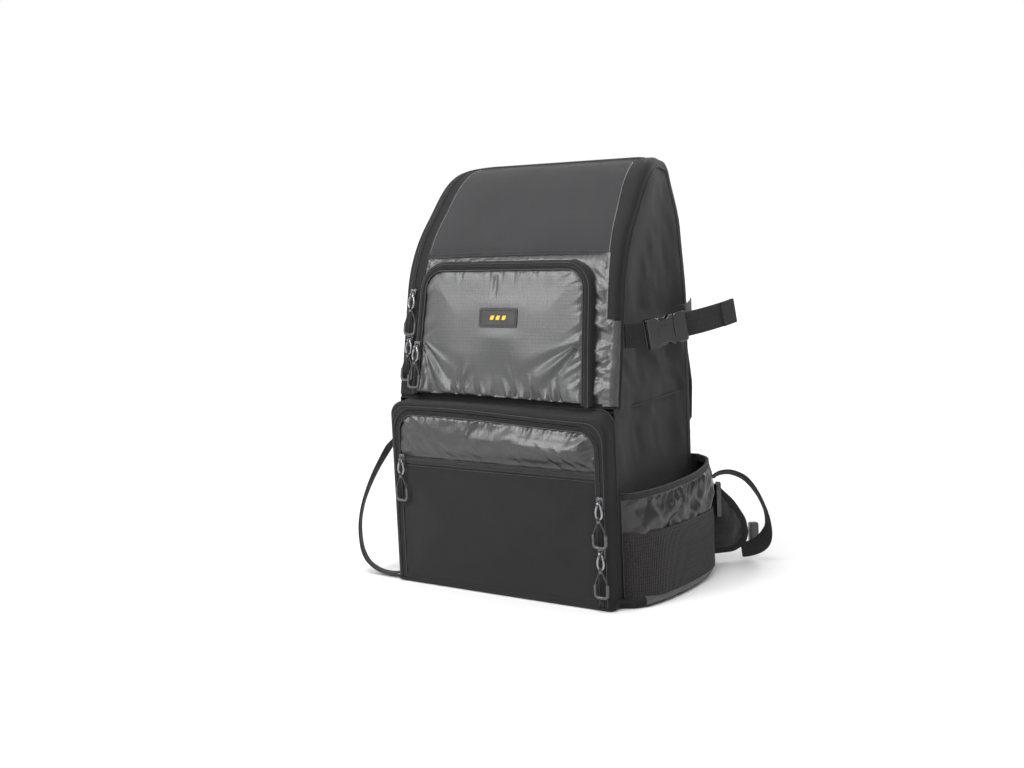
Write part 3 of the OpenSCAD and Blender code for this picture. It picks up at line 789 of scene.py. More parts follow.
def hood_piece():
    left = main_zip(-13.6)
    left = left[(left[:, 0] < 0) & (left[:, 1] > HOOD_SEAM + 1)]
    turn_s = ZIP_TOP - CORNER
    s = np.linspace(HOOD_SEAM + 1, turn_s, 50)
    right = np.stack([half_s(s) - ZIP_IN + seam_in(s), s], 1)
    corner = main_zip(-13.6)
    corner = corner[(corner[:, 0] > 0) & (corner[:, 1] > turn_s + 7)]
    low = spline([left[-1] + [0, -4], (-128, HOOD_SEAM - 1.5), (-60, HOOD_SEAM), (40, HOOD_SEAM + 0.5),
                  (right[0, 0] - 18, HOOD_SEAM - 1), right[0] + [0, -5]], 8)
    outline = np.vstack([right, corner, left, low])
    hood = cloth("hood_cloth", outline, skin, hood_height, HOOD, 1.8, 3.0)
    set_on(hood, "main_flap", "hood_fabric", "hood_panel")
    for k, lift in enumerate((1.7, 5.6)):
        set_on(stitches(f"hood_hem_{k}", low[2:-2] + [0, lift], skin, 1.75 + 0.35 * k, THREAD, 2.8, 1.9),
               "main_flap")
    line = np.stack([right[:, 0] - 1.6, right[:, 1]], 1)
    low_s = np.linspace(104, HOOD_SEAM, 20)
    line = np.vstack([np.stack([half_s(low_s) - ZIP_IN + seam_in(low_s) - 1.6, low_s], 1), line])
    set_on(stitches("hood_edge_right", line, skin, 2.1, PALE_THREAD, 2.8, 1.9, 0.75), "main_flap")
    set_on(stitches("hood_edge_left", left[4:] + [1.8, 0], skin, 2.0, PALE_THREAD, 2.8, 1.9, 0.6), "main_flap")


hood_piece()


def top_piece():
    s0 = s_at(77.9)
    right = [(half_s(s) - 4.8, s) for s in np.linspace(s0, S_BACK, 14)]
    outline = np.vstack([right, np.array(right[::-1]) * [-1, 1]])
    top = cloth("top_cloth", outline, skin, lambda x, s, d, t: 0.5 + 0.7 * (1 - np.exp(-d / 8))
                + 0.4 * noise(x / 50, s / 20, 5), HOOD, 1.5, 3.2)
    set_on(top, "pack", "hood_fabric", "top_panel")
    seam = np.array([(x, s0 + 2.6) for x in np.linspace(-half_s(s0) + 6, half_s(s0) - 6, 60)])
    set_on(stitches("top_seam", seam, skin, 1.35, THREAD), "pack")


top_piece()


def lean_plane(x, s, h):
    x, s, h = np.broadcast_arrays(*(np.asarray(v, float) for v in (x, s, h)))
    return np.stack([x, FOOT[0] + s * SL - h * CL, FOOT[1] + s * CL + h * SL], -1)


def skin_drop(s):
    """How far the body's skin is below the plane of the leaning front."""
    over = np.maximum(np.asarray(s, float) - STRAIGHT, 0)
    return HOOD_R - np.sqrt(HOOD_R**2 - over**2)


def arch(off, z0=5.0):
    return resampled(rounded_top(131 + off, z0, 174 + off, 36 + off, 6), 4)


def front_height(x, s, d, t):
    """Shiny cloth pulled in by its seams, with slanting folds above the pocket and on its right."""
    swell = 0.5 + 2.6 * (1 - np.exp(-d / 5))
    live = ramp(d, 0, 4)
    above = ramp(s, 160, 178)
    slant = noise((0.85 * x - 0.55 * s) / 6.4, (s + x) / 60, 23) * 2.6 * (1 - ramp(x, -60, 20))
    slant = slant + noise((x + 0.3 * s) / 11, s / 40, 24) * 2.4 * ramp(x, 40, 90)
    upper_right = noise((s + 0.7 * x) / 6.4, x / 34, 25) * 1.9 * ramp(s, 106, 120)
    lower_right = noise((s + 0.3 * x) / 6.6, x / 34, 21) * 2.6 + noise((s - 0.4 * x) / 3.2, x / 20, 22) * 0.8
    lower_right = lower_right * (1 - ramp(s, 98, 110))
    column = (upper_right + lower_right) * (1 - above)
    h = swell + live * (slant * above + column) + 0.8 * puckers(t, d, 8, 5, 1.0, 26)
    edge = half_s(s) - 3 - x
    h = h + ramp(x, 100, 118) * (1 - above) * (1.2 + 0.9 * puckers(s, edge, 9, 15, 1.6, 27, 0.5))
    least = 0.6 + (2.2 + 1.6 * (1 - ramp(s, 24, 44))) * (1 - ramp(edge, 16, 26)) * ramp(x, 60, 90)
    return least + np.where(h > least, h - least, 0.15 * (h - least) / (1 + np.abs(h - least)))


def front_piece():
    left = main_zip(-13.6, stop=HOOD_SEAM + 2) * [-1, 1]
    low_s, top_s = np.linspace(5, 103.4, 30), np.linspace(104.6, HOOD_SEAM + 2, 24)
    wide = np.stack([half_s(low_s) - 5.5, low_s], 1)
    right = np.stack([half_s(top_s) - ZIP_IN + seam_in(top_s) + 0.8, top_s], 1)
    outline = np.vstack([wide, right, left[::-1], arch(-3)[::-1]])
    cover = cloth("front_cloth", outline, skin, front_height, RIPSTOP, 1.4, 1.75)
    set_on(cover, "main_flap", "ripstop_fabric", "front_panel")
    inner = cloth("front_cloth_inner", arch(-2.4), skin, -0.6, RIPSTOP, 1.4, 7)
    set_on(inner, "main_flap", "ripstop_fabric")
    hem = np.array([(x, 104.5) for x in np.linspace(half_s(104) - 15, half_s(104) - 3, 16)])
    set_on(stitches("cover_hem", hem, skin, 3.2, THREAD, 2.8), "main_flap")
    for sign in (1, -1):
        gore = [(half_s(5) - 3, 4.5), (half_s(30) - 3, 33), (half_s(24) - 14, 20), (half_s(5) - 34, 4.5)]
        o = cloth(f"gore_{'right' if sign > 0 else 'left'}", np.array(gore) * [sign, 1], skin,
                  lambda x, s, d, t: 2.9 + 0.8 * (1 - np.exp(-d / 5)), CANVAS, 2.6, 3)
        set_on(o, "main_flap", "matte_fabric")


front_piece()


# --- Upper pocket ----------------------------------------------------------------
def upper_pocket():
    path = arch(0)
    low = -skin_drop(path[:, 1])
    fixed = np.array([(0.9, 0), (0.8, 5), (0.5, 8.6), (-0.8, 10.9), (-3, 12.1), (-5.2, 12.2), (-6.2, 12.7),
                      (-6.8, 12.2), (-6.8, 10.8), (-3, 10.6), (-1.6, 9), (-0.9, 6), (-0.8, 0)])
    section = np.repeat(fixed[None], len(path), 0)
    section[:, [0, -1], 1] = low[:, None] + 0.6
    band = sweep("upper_pocket_band", laid(path, lean_plane), section, CANVAS)
    set_on(band, "main_flap", "matte_fabric", "upper_pocket_gusset")
    inner = laid(arch(-7.0, 6.5), lean_plane)
    tape = sweep("upper_pocket_tape", inner, tape_section(-0.3, -3.8, 12.1), CANVAS)
    set_on(tape, "upper_flap", "zip_tape")
    teeth("upper_teeth_band", arch(-6.55), lean_plane, "main_flap", 12.75)
    teeth("upper_teeth_panel", arch(-7.9, 6.5), lean_plane, "upper_flap", 12.6)
    pipe = sweep("upper_pocket_piping", laid(arch(-10.9, 7), lean_plane, 12.3), round_section(0.9), TEETH)
    set_on(pipe, "upper_flap", "zip_tape")
    seam = sweep("upper_pocket_foot", laid(arch(1.2), skin, 1.2), round_section(1.3), BINDING)
    set_on(seam, "main_flap", "matte_fabric")
    set_on(stitches("upper_band_stitch", arch(-2.9), lean_plane, 12.3, THREAD, 3.0), "main_flap")


upper_pocket()


def fan(x, y, centre, heading, spread, length, folds, height):
    """Folds that run out of a corner and fade."""
    dx, dy = x - centre[0], y - centre[1]
    r, a = np.hypot(dx, dy), np.arctan2(dy, dx)
    off = np.degrees((a - math.radians(heading) + math.pi) % (2 * math.pi) - math.pi) / spread
    fade = ramp(r, 3, 18) * (1 - ramp(r, length * 0.4, length))
    return height * np.cos(off * folds * math.pi) * bell(off, 1) * fade


def upper_panel_height(x, s, d, t):
    swell = 10.6 + 2.4 * (1 - np.exp(-d / 4)) + 2.6 * ramp(d, 4, 55)
    low, right, left, top = s - 8, 122 - x, x + 122, 163 - s
    foot = puckers(x, low, 15, 15, 3.6, 31, 0.3) + puckers(x, low, 6, 6, 0.8, 32)
    rim = (puckers(s, right, 12, 13, 1.6, 33, 0.5) * ramp(s, 12, 30) + puckers(s, left, 14, 9, 1.1, 34, -0.4)
           + puckers(x, top, 15, 9, 1.3, 35))
    crease = -1.2 * bell(x + 9 - (s - 140) * 0.22 - 2 * np.sin(s / 9), 3.4)
    crease = crease * ramp(s, 124, 142) * (1 - 0.4 * ramp(s, 150, 162))
    folds = (fan(x, s, (-124, 78), -57, 20, 100, 1.8, 2.4) + fan(x, s, (128, 80), 216, 14, 120, 1.2, 3.0)
             + fan(x, s, (40, 0), 118, 16, 60, 1.2, 1.4) + fan(x, s, (-60, 2), 72, 20, 55, 1.4, 1.6))
    slack = 1.3 * noise(x / 48, s / 44, 36) * ramp(d, 4, 30)
    h = swell + foot + rim + crease + folds + slack
    badge = (((x / 26) ** 4 + ((s - 104) / 13) ** 4) ** 0.25 - 1) / 1.1
    return h + (15.4 - h) * (1 - ramp(badge, -0.3, 1))


def upper_flap():
    outline = resampled(rounded_top(120.4, 8, 163.2, 26, 5.6), 4)
    panel = cloth("upper_pocket_cloth", outline, lean_plane, upper_panel_height, RIPSTOP, 1.4, 1.9)
    set_on(panel, "upper_flap", "ripstop_fabric", "upper_pocket_panel")
    to_lean = Matrix(((1, 0, 0, 0), (0, SL, -CL, FOOT[0] + 104 * SL), (0, CL, SL, FOOT[1] + 104 * CL),
                      (0, 0, 0, 1)))
    badge = plate("badge", rounded_box(58, 24, 3), 14.6, 16.6, to_lean, RUBBER, bevel=0.7)
    set_on(badge, "upper_flap", "patch_rubber", "patch")
    rim = laid(np.vstack([rounded_box(52.5, 18.5, 2.2), rounded_box(52.5, 18.5, 2.2)[:1]]) + [0, 104],
               lean_plane, 16.65)
    set_on(sweep("badge_rim", rim, round_section(0.55, 0.4, 8), RUBBER), "upper_flap", "patch_rubber")
    for k, x in enumerate((-9, 0, 9)):
        bar = plate(f"badge_mark_{k}", np.array([(-3, -2.6), (2.2, -2.6), (4, 2.6), (-1.2, 2.6)]) + [x, 0],
                    16.4, 17.1, to_lean, YELLOW, bevel=0.25)
        set_on(bar, "upper_flap", "patch_rubber")


upper_flap()


# --- Lower compartment -----------------------------------------------------------
def lower_arch(half, top, r, z0=3.6):
    return resampled(rounded_top(half, z0, top, r), 4)


def lower_box():
    outer, inner = lower_arch(161.6, 233.6, 16), lower_arch(156.4, 226.4, 30)
    lip = cloth("lower_lip", np.vstack([outer, inner[::-1]]), front,
                lambda x, z, d, t: 0.9 + 0.3 * noise(x / 12, z / 12, 41), CANVAS, 1.6, 3.0)
    set_on(lip, "pack", "matte_fabric", "lower_gusset")
    section = [(-3.6, 1.0), (-2.2, 0.7), (-0.7, -0.6), (0.1, -3), (0.5, -8), (0.3, -21.6), (-1.2, -21.6),
               (-1.1, -8), (-1.6, -3.6), (-2.6, -1.2), (-3.6, -0.6)]
    roll = sweep("lower_roll", laid(lower_arch(164, 236, 18), front), section, CANVAS)
    set_on(roll, "pack", "matte_fabric")
    pipe = sweep("lower_pipe", laid(lower_arch(164.4, 236.4, 18), front, -20.4), round_section(1.3), BINDING)
    set_on(pipe, "pack", "matte_fabric")
    line = lower_arch(156.1, 226.1, 29.7, 5.2)
    set_on(sweep("lower_tape_body", laid(line, front), tape_section(0.4, 4.4, 1.3, 1.0), CANVAS), "pack",
           "zip_tape")
    set_on(sweep("lower_tape_flap", laid(line, front), tape_section(-0.4, -7.2, 1.2), CANVAS), "lower_flap",
           "zip_tape")
    teeth("lower_teeth_body", lower_arch(156.95, 226.95, 30.6, 5.2), front, "pack", 1.75)
    teeth("lower_teeth_flap", lower_arch(155.25, 225.25, 28.9, 5.6), front, "lower_flap", 1.65)
    set_on(stitches("lower_lip_stitch", lower_arch(160.2, 230.6, 24), front, 1.25, THREAD, 3.0), "pack")
    set_on(sweep("lower_flap_piping", laid(lower_arch(149.4, 219.4, 23, 5.8), front, 1.1), round_section(0.9),
                 TEETH), "lower_flap", "zip_tape")


lower_box()


def shiny_top_height(x, z, d, t):
    swell = 0.4 + 2.4 * (1 - np.exp(-d / 4)) + 4.6 * ramp(d, 2, 24) * (0.75 + 0.25 * ramp(z, 165, 200))
    top = puckers(x, 219 - z, 14, 9, 1.7, 51, 0.3) + puckers(x, 219 - z, 6, 5, 0.6, 52)
    ends = puckers(z, 149 - np.abs(x), 11, 16, 2.2, 53, 0.6)
    sag = (3.2 * noise((x + 0.9 * z) / 46, (z - 0.5 * x) / 60, 54) * ramp(d, 2, 16)
           + 1.1 * noise((x - z) / 20, z / 34, 55) * ramp(d, 2, 12))
    low = puckers(x, z - 165, 17, 17, 2.4, 56, 0.9)
    hollow = -3.4 * bell(z - 196, 13) * bell(x + 92, 42) + 2.4 * bell(z - 186, 16) * bell(x - 70, 46)
    fold = 2.2 * bell(x + 34 + 0.5 * (206 - z), 5) * ramp(z, 178, 206)
    return (swell + top + ends + sag + low + hollow + fold) * (0.3 + 0.7 * ramp(z, 166, 177))


def matte_front_height(x, z, d, t):
    swell = 0.6 + 1.2 * (1 - np.exp(-d / 5)) + 4.6 * ramp(d, 4, 75)
    soft = 1.3 * noise(x / 60, z / 48, 61) * ramp(d, 5, 40) + 0.5 * noise(x / 24, z / 20, 62) * ramp(d, 4, 20)
    ends = np.exp(-(149 - np.abs(x)) / 8) * 0.8 * noise(z / 6, 0, 63)
    top = np.exp(-(157 - z) / 12) * 0.8 * noise(x / 16, 0, 64)
    return swell + soft + ends + top


def lower_flap():
    top = np.vstack([[[149, 165.4]], lower_arch(149, 219, 22.6, 172), [[-149, 165.4]]])
    # This panel gets the darker copy of the ripstop: painted shade.
    panel = cloth("lower_top_cloth", top, front, shiny_top_height, SHADED_LOWER_RIPSTOP, 1.4, 2.0)
    set_on(panel, "lower_flap", "ripstop_fabric", "lower_flap_top")
    matte = resampled([(149, 5.6), (149, 157.2), (-149, 157.2), (-149, 5.6)], 5, True)
    panel = cloth("flat_pocket_cloth", matte, front, matte_front_height, CANVAS, 1.8, 3.4)
    set_on(panel, "lower_flap", "matte_fabric", "flat_pocket_panel")
    hem = np.array([(x, 154.0) for x in np.linspace(-147, 147, 90)])
    set_on(stitches("flat_pocket_hem", hem, front, lambda x, z: matte_front_height(x, z, 3.2, 0) + 0.1,
                    THREAD, 2.8, 1.9), "lower_flap")
    line = np.array([(x, FLAT_ZIP_Z) for x in np.linspace(149.5, -149.5, 60)])
    ribs = [(-4.4, 0.6), (-4.4, 1.5), (-3.6, 2.0), (-2.6, 1.5), (-1.6, 1.6), (-0.9, 2.4), (0, 2.6), (0.9, 2.4),
            (1.6, 1.6), (2.6, 1.5), (3.6, 2.0), (4.4, 1.5), (4.4, 0.6)]
    tape = sweep("flat_zip_ribs", laid(line, front), ribs, TAPE)
    set_on(tape, "lower_flap", "zip_tape", "flat_zip_tape")
    teeth("flat_teeth", line, front, "lower_flap", 2.5)
    lining = cloth("lower_flap_back", lower_arch(153, 223, 26.6, 5.6), front, -8.6, CANVAS, 1.6, 9)
    set_on(lining, "lower_flap", "matte_fabric", "lower_flap_lining")
    wall = sweep("lower_flap_wall", laid(lower_arch(153, 223, 26.6, 5.6), front),
                 [(0.6, 0.4), (0.8, -5), (0.6, -10), (-0.8, -10), (-0.6, -5), (-0.8, 0.4)], CANVAS)
    set_on(wall, "lower_flap", "matte_fabric")


lower_flap()


# --- Sides, back, base and shelf -------------------------------------------------
def side_height(y, z, d, t):
    free = ramp(z, 138, 190)
    dish = -0.4 - (1.6 + 3.6 * free) * ramp(d, 4, 55)
    slant = noise((y * 0.5 + z) / 15, (y - z) / 70, 71) * 2.4 * bell(z - 285, 62) * ramp(d, 4, 24)
    slack = 2.0 * noise(y / 52, z / 60, 72) * ramp(d, 6, 45) * free
    small = 0.6 * noise(y / 15 + z / 60, z / 22, 73) * ramp(d, 3, 16) * free
    return dish + slant + slack + small


def side_pieces():
    y, z = profile(np.linspace(0, S_BACK, 60), -11.2)
    keep = (z > 238) & (y > -101)
    arc = np.stack([y, z], 1)[keep]
    outline = np.vstack([[[-101.6, 3.5], [-101.6, 238]], arc,
                         [[BACK_Y - 4, BODY_H - BACK_R], [BACK_Y - 4, 3.5]]])
    for name, sign in (("right", 1), ("left", -1)):
        o = cloth(f"{name}_side_cloth", resampled(outline, 8, True), side(sign), side_height, CANVAS, 1.8, 3.6)
        set_on(o, "pack", "matte_fabric", f"{name}_side_panel")


side_pieces()


def behind(x, z, h):
    x, z, h = np.broadcast_arrays(*(np.asarray(v, float) for v in (x, z, h)))
    return np.stack([x, BACK_Y + h, z], -1)


def level(height, up=1):
    def place(x, y, h):
        x, y, h = np.broadcast_arrays(*(np.asarray(v, float) for v in (x, y, h)))
        return np.stack([x, y, height + up * h], -1)

    return place


def rounded_loop(corners, radii, n=6):
    """A closed outline with its corners rounded, each by its own radius."""
    p = np.asarray(corners, float)
    out = []
    for i, r in enumerate(radii):
        a, b, c = p[i - 1], p[i], p[(i + 1) % len(p)]
        start, stop = b + unit(a - b) * r, b + unit(c - b) * r
        t = np.linspace(0, 1, n)[:, None]
        out.append((1 - t) ** 2 * start + 2 * t * (1 - t) * b + t**2 * stop)
    return np.vstack(out)


def body_pieces():
    wide = half_w(BACK_Y) - 4.5
    back = cloth("back_cloth", [(wide, 4), (wide, BODY_H - BACK_R), (-wide, BODY_H - BACK_R), (-wide, 4)],
                 behind, lambda x, z, d, t: 0.3 + 0.5 * noise(x / 40, z / 40, 75) * ramp(d, 2, 20), CANVAS, 1.6,
                 6)
    set_on(back, "pack", "matte_fabric", "back_panel")
    wide -= 6
    lining = cloth("back_lining", [(wide, 8), (wide, 500), (-wide, 500), (-wide, 8)], behind, -7.2, CANVAS, 1.4,
                   12)
    set_on(lining, "pack", "matte_fabric")
    near, far = half_w(-100) - 3, half_w(BACK_Y - 10) - 3
    shelf = [(near, -100), (far, BACK_Y - 10), (-far, BACK_Y - 10), (-near, -100)]
    shelf = cloth("divider_cloth", shelf, level(234), lambda x, y, d, t: -0.5 * ramp(d, 5, 60), CANVAS, 2.2, 9)
    set_on(shelf, "pack", "matte_fabric", "divider_shelf")
    bow = [5.5 * math.sin(math.pi * min(1, (k + 0.6) / 5.6)) for k in range(len(POCKET_PATH))]
    right = [(x + 0.4 + out, y) for (x, y), out in zip(POCKET_PATH, bow)]
    right = spline([(165.2, -119), (166.5, -106), *right[1:-1], (146, BACK_Y + 1.4)], 6)
    front_edge = [(-158, -123.9), (-80, -124.3), (0, -124.4), (80, -124.3), (158, -123.9), (163.6, -122.6)]
    loop = np.vstack([front_edge, right, [(60, BACK_Y + 1.2), (-60, BACK_Y + 1.2)], (right * [-1, 1])[::-1],
                      [(-163.6, -122.6)]])
    loop = resampled(loop, 6, True)
    edge = np.array([(-9, 0.25), (-1.2, 0.2), (0.3, 0.8), (1.2, 2.6), (1.5, 6.4), (1.2, 9), (0.2, 10.4),
                     (-1.0, 10.6), (-1.1, 9.4), (-0.8, 3), (-9, 2.0)])
    section = np.repeat(edge[None], len(loop), 0)
    section[..., 1] *= 1 - 0.58 * ramp(-loop[:, 1], 112, 121)[:, None]
    rail = framed(np.c_[loop, np.zeros(len(loop))], (0, 0, 1))
    rail = (rail[0], closed_across(loop), rail[2])
    rim = sweep("base_rim", rail, section, CANVAS, closed=True)
    run = resampled(right[13:-7], 5, False)
    travel = unit(np.gradient(run, axis=0))
    out = np.c_[travel[:, 1], -travel[:, 0], np.zeros(len(run))]
    strip = [(-2.4, 2.2), (0.3, 2.0), (1.9, 4.2), (2.0, 7), (1.2, 10.5), (-0.8, 13.4), (-3.4, 14), (-3.4, 12.6),
             (-1.4, 11.6), (-0.4, 9), (-0.2, 6), (-0.6, 4)]
    strip = np.repeat(np.array(strip)[None], len(run), 0)
    strip[..., 0] += (0.9 + 0.7 * noise(np.arange(len(run)) / 4.2, 0, 91))[:, None] * (strip[..., 0] > 0)
    strip = sweep("right_base_cloth", (np.c_[run, np.zeros(len(run))], out,
                                       np.broadcast_to([0, 0, 1.0], out.shape)), strip, BASE_CLOTH)
    set_on(strip, "pack", "ripstop_fabric")
    set_on(mirrored(strip, "left_base_cloth"), "pack", "ripstop_fabric")
    set_on(rim, "pack", "base_fabric", "base_panel")
    floor = cloth("base_cloth", loop * [0.965, 0.962], level(0.9, -1),
                  lambda x, y, d, t: 0.5 + 0.2 * noise(x / 30, y / 30, 76), BASE_CLOTH, 2.0, 9)
    set_on(floor, "pack", "base_fabric")


def closed_across(loop):
    """Outward directions of a closed outline in the level plane, drawn anticlockwise."""
    travel = unit(np.roll(loop, -1, 0) - np.roll(loop, 1, 0))
    return np.c_[travel[:, 1], -travel[:, 0], np.zeros(len(loop))]


body_pieces()


# --- Side pockets ----------------------------------------------------------------
POCKET_LINE = evenly(spline(POCKET_PATH, 14), 1.0)
POCKET_LONG = float(len(POCKET_LINE))


def pocket_place(sign):
    travel = unit(np.gradient(POCKET_LINE, axis=0))
    at = np.arange(len(POCKET_LINE)) + 0.5

    def place(t, z, h):
        t, z, h = np.broadcast_arrays(*(np.asarray(v, float) for v in (t, z, h)))
        x, y, tx, ty = (np.interp(t, at, v) for v in (*POCKET_LINE.T, *travel.T))
        return np.stack([sign * (x + h * ty), y - h * tx, z], -1)

    return place


def pocket_top(t):
    u = np.asarray(t, float) / POCKET_LONG
    return 137 + 9 * u - 3.2 * np.sin(math.pi * u)


def pocket_belly(t, z):
    """How far the loaded pocket swells beyond its seam."""
    return 7.5 * ramp(t, 0, 60) * ramp(POCKET_LONG - t, 0, 70) * (1 - ramp(z, 60, 150)) - 0.4


def pocket_height(t, z, d, s):
    under = pocket_top(t) - z
    pleat = 5.2 * noise(t / 19 + under / 17, under / 60, 81) + 2.0 * noise(t / 9 - under / 22, under / 40, 82)
    pleat = pleat * ramp(under, 6, 22) * (1 - ramp(under, 38, 62)) + puckers(t, under - 7, 10, 13, 3.2, 85, 0.5)
    belly = 4.0 * bell(under - 26, 20)
    ends = ramp(t, 0, 16) * ramp(POCKET_LONG - t, 0, 16)
    return (pleat + belly) * ends + pocket_belly(t, z)


def band_height(t, z, d, s):
    return 2.3 + pocket_belly(t, z) + 0.5 * noise(t / 34, z / 40, 84) * ramp(d, 1, 8)


def side_pockets():
    t = np.linspace(0.5, POCKET_LONG - 0.5, 110)
    outline = np.vstack([np.c_[t, pocket_top(t) - 2], [[t[-1], 9.8], [t[0], 9.8]]])
    t_band = np.linspace(1.5, POCKET_LONG - 22, 70)
    band = np.vstack([np.c_[t_band, 90.5 - 6 * t_band / POCKET_LONG], [[t_band[-1], 10.6], [t_band[0], 10.6]]])
    for name, sign in (("right", 1), ("left", -1)):
        place = pocket_place(sign)
        # The pockets get the darker copy of the ripstop: painted shade.
        o = cloth(f"{name}_pocket_cloth", resampled(outline, 3, True), place, pocket_height, SHADED_POCKET_RIPSTOP, 1.4,
                  2.2)
        set_on(o, "pack", "ripstop_fabric", f"{name}_side_pocket")
        rail = laid(np.c_[t, pocket_top(t)], place)
        lip = [(-0.6, -1.7), (-1.2, -0.6), (-1.2, 0.8), (-0.4, 1.9), (3.6, 2.1), (7.2, 1.9), (8, 1.2), (8, 0.2),
               (1.5, 0.2), (0.9, -0.4), (1.5, -1.8), (7.6, -1.8), (7.6, -2.6), (0.6, -2.6)]
        lip = np.repeat(np.array(lip)[None], len(t), 0)
        lip[..., 1] += (0.35 * noise(t / 5.5, 0, 83))[:, None]
        lip[..., 0] *= sign
        set_on(sweep(f"{name}_pocket_binding", rail, lip, BINDING), "pack", "webbing")
        seam = np.c_[t[2:-2], pocket_top(t[2:-2]) - 6.9]
        set_on(stitches(f"{name}_pocket_stitch", seam, place, 2.15, THREAD, 3.0), "pack")
        z = np.linspace(3.4, 147, 40)
        seam = np.c_[np.full(40, 144.5 * sign), np.full(40, BACK_Y + 0.4), z]
        across = np.broadcast_to([1.0 * sign, 0, 0], seam.shape)
        flap = [(-7.5, 0.9), (-2, 1.2), (3, 1.2), (6.8, 0.9), (7.6, 0), (6.8, -0.9), (3, -1.2), (-2, -1.2),
                (-7.5, -0.9)]
        flap = sweep(f"{name}_pocket_back", (seam, across, np.broadcast_to([0, 1.0, 0], seam.shape)), flap,
                     CANVAS)
        set_on(flap, "pack", "matte_fabric")
        elastic = cloth(f"{name}_elastic_band", resampled(band, 4, True), place, band_height, ELASTIC, 1.5, 4)
        set_on(elastic, "pack", "elastic", f"{name}_elastic_band")


side_pockets()


# --- Zip sliders and pulls -------------------------------------------------------
def on_lean(x, s, out):
    at = lean_plane(x, s, out)
    return Matrix(((1, 0, 0, at[0]), (0, SL, -CL, at[1]), (0, CL, SL, at[2]), (0, 0, 0, 1)))


def on_front(x, z):
    return Matrix(((1, 0, 0, x), (0, 0, -1, FRONT_Y), (0, 1, 0, z), (0, 0, 0, 1)))


def wire(name, matrix, points, section, material, closed=False, normal=(0, 0, 1)):
    """A section run along a path given in the frame of a matrix."""
    p = moved(matrix, points)
    n = np.array(matrix)[:3, :3] @ np.asarray(normal, float)
    if not closed:
        return sweep(name, framed(p, n), section, material)
    travel = unit(np.roll(p, -1, 0) - np.roll(p, 1, 0))
    n = np.broadcast_to(n, p.shape)
    return sweep(name, (p, unit(np.cross(travel, n)), n), section, material, closed=True)


def zip_set(name, slider, pull, place):
    """A slider with its bail, and the link, cord and moulded end that hang from it."""
    body = [(-2.6, -7.5), (2.6, -7.5), (3.6, -6.4), (4.0, -1), (5, 4.4), (4.6, 6.4), (3.0, 7.4), (1.0, 7.0),
            (0, 6.2), (-1.0, 7.0), (-3.0, 7.4), (-4.6, 6.4), (-5, 4.4), (-4.0, -1), (-3.6, -6.4)]
    top = plate(f"{name}_top", body, 3.0, 4.4, place, METAL, bevel=0.45)
    low = plate(f"{name}_base", body, 0.4, 1.5, place, METAL, bevel=0.35)
    neck = plate(f"{name}_neck", [(-1.3, 1), (1.3, 1), (1.8, 5.4), (0, 6.2), (-1.8, 5.4)], 1.4, 3.1, place,
                 METAL, bevel=0)
    arch = [(0, -5.2, 3.9), (0, -5.3, 6.6), (0, -4.2, 8.6), (0, -2.2, 9.35), (0, 0.4, 9.1), (0, 2.4, 7.6),
            (0, 3.3, 5.6), (0, 3.3, 3.9)]
    bail = wire(f"{name}_bail", place, spline(arch, 4), [(-0.6, -1.1), (0.3, -1.1), (0.6, -0.7), (0.6, 0.7),
                                                         (0.3, 1.1), (-0.6, 1.1)], METAL, normal=(1, 0, 0))
    for o in (top, low, neck, bail):
        set_on(o, slider, "slider_metal")
    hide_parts(slider)
    t = np.linspace(0, 2 * math.pi, 28, endpoint=False)
    oval = np.c_[4.3 * np.cos(t) * (1 - 0.2 * np.sin(t)), -9.9 + 8.7 * np.sin(t), np.full(28, 7.2)]
    link = wire(f"{name}_link", place, oval, round_section(1.3, 0.9, 8), BRIGHT, closed=True)
    cord = [(-8.2, -43, 7.2), (-8.2, -38, 7.2), (-7.0, -33, 7.3), (-4.0, -26.5, 7.5), (-1.6, -21.8, 7.9),
            (-1.0, -19, 8.4), (-0.6, -17.2, 8.8), (0.3, -16.4, 8.7), (1.0, -17.6, 7.8), (1.1, -19.5, 7.2),
            (1.8, -21.8, 7.2), (4.0, -26.5, 7.2), (7.0, -33, 7.2), (8.2, -38, 7.2), (8.2, -43, 7.2)]
    cord = wire(f"{name}_cord", place, spline(cord, 4), round_section(1.0, 0.9, 8), CORD)
    wrap = plate(f"{name}_wrap", rounded_box(4.8, 3.6, 1.2, 3) + [0, -21.4], 6.2, 9.0, place, PULL_END,
                 bevel=0.6)
    ring = np.array([(-10, -38.5), (-9.6, -36.8), (-8.2, -36.4), (-6.9, -37.2), (-7.0, -47.5), (-6.2, -49.8),
                     (-4, -50.8), (4, -50.8), (6.2, -49.8), (7.0, -47.5), (6.9, -37.2), (8.2, -36.4),
                     (9.6, -36.8), (10, -38.5), (10, -48.2), (8.8, -52.0), (5.6, -53.8), (-5.6, -53.8),
                     (-8.8, -52.0), (-10, -48.2)])
    end = plate(f"{name}_end", ring[::-1], 5.6, 8.8, place, PULL_END, bevel=0.9)
    for o in (link, cord, wrap, end):
        set_on(o, pull, "pull_cord")
    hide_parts(pull)


def main_zip_x(s):
    return -(half_s(s) - ZIP_IN)


zip_set("main_a", "main_slider_a", "main_pull_a", on_lean(main_zip_x(134), 134, 0))
zip_set("main_b", "main_slider_b", "main_pull_b", on_lean(main_zip_x(75), 75, 0))
zip_set("upper", "upper_slider", "upper_pull", on_lean(-127, 66, 12))
zip_set("lower_a", "lower_slider_a", "lower_pull_a", on_front(156, 130))
zip_set("lower_b", "lower_slider_b", "lower_pull_b", on_front(156, 70))
zip_set("flat", "flat_slider", "flat_pull", on_front(-145, FLAT_ZIP_Z))


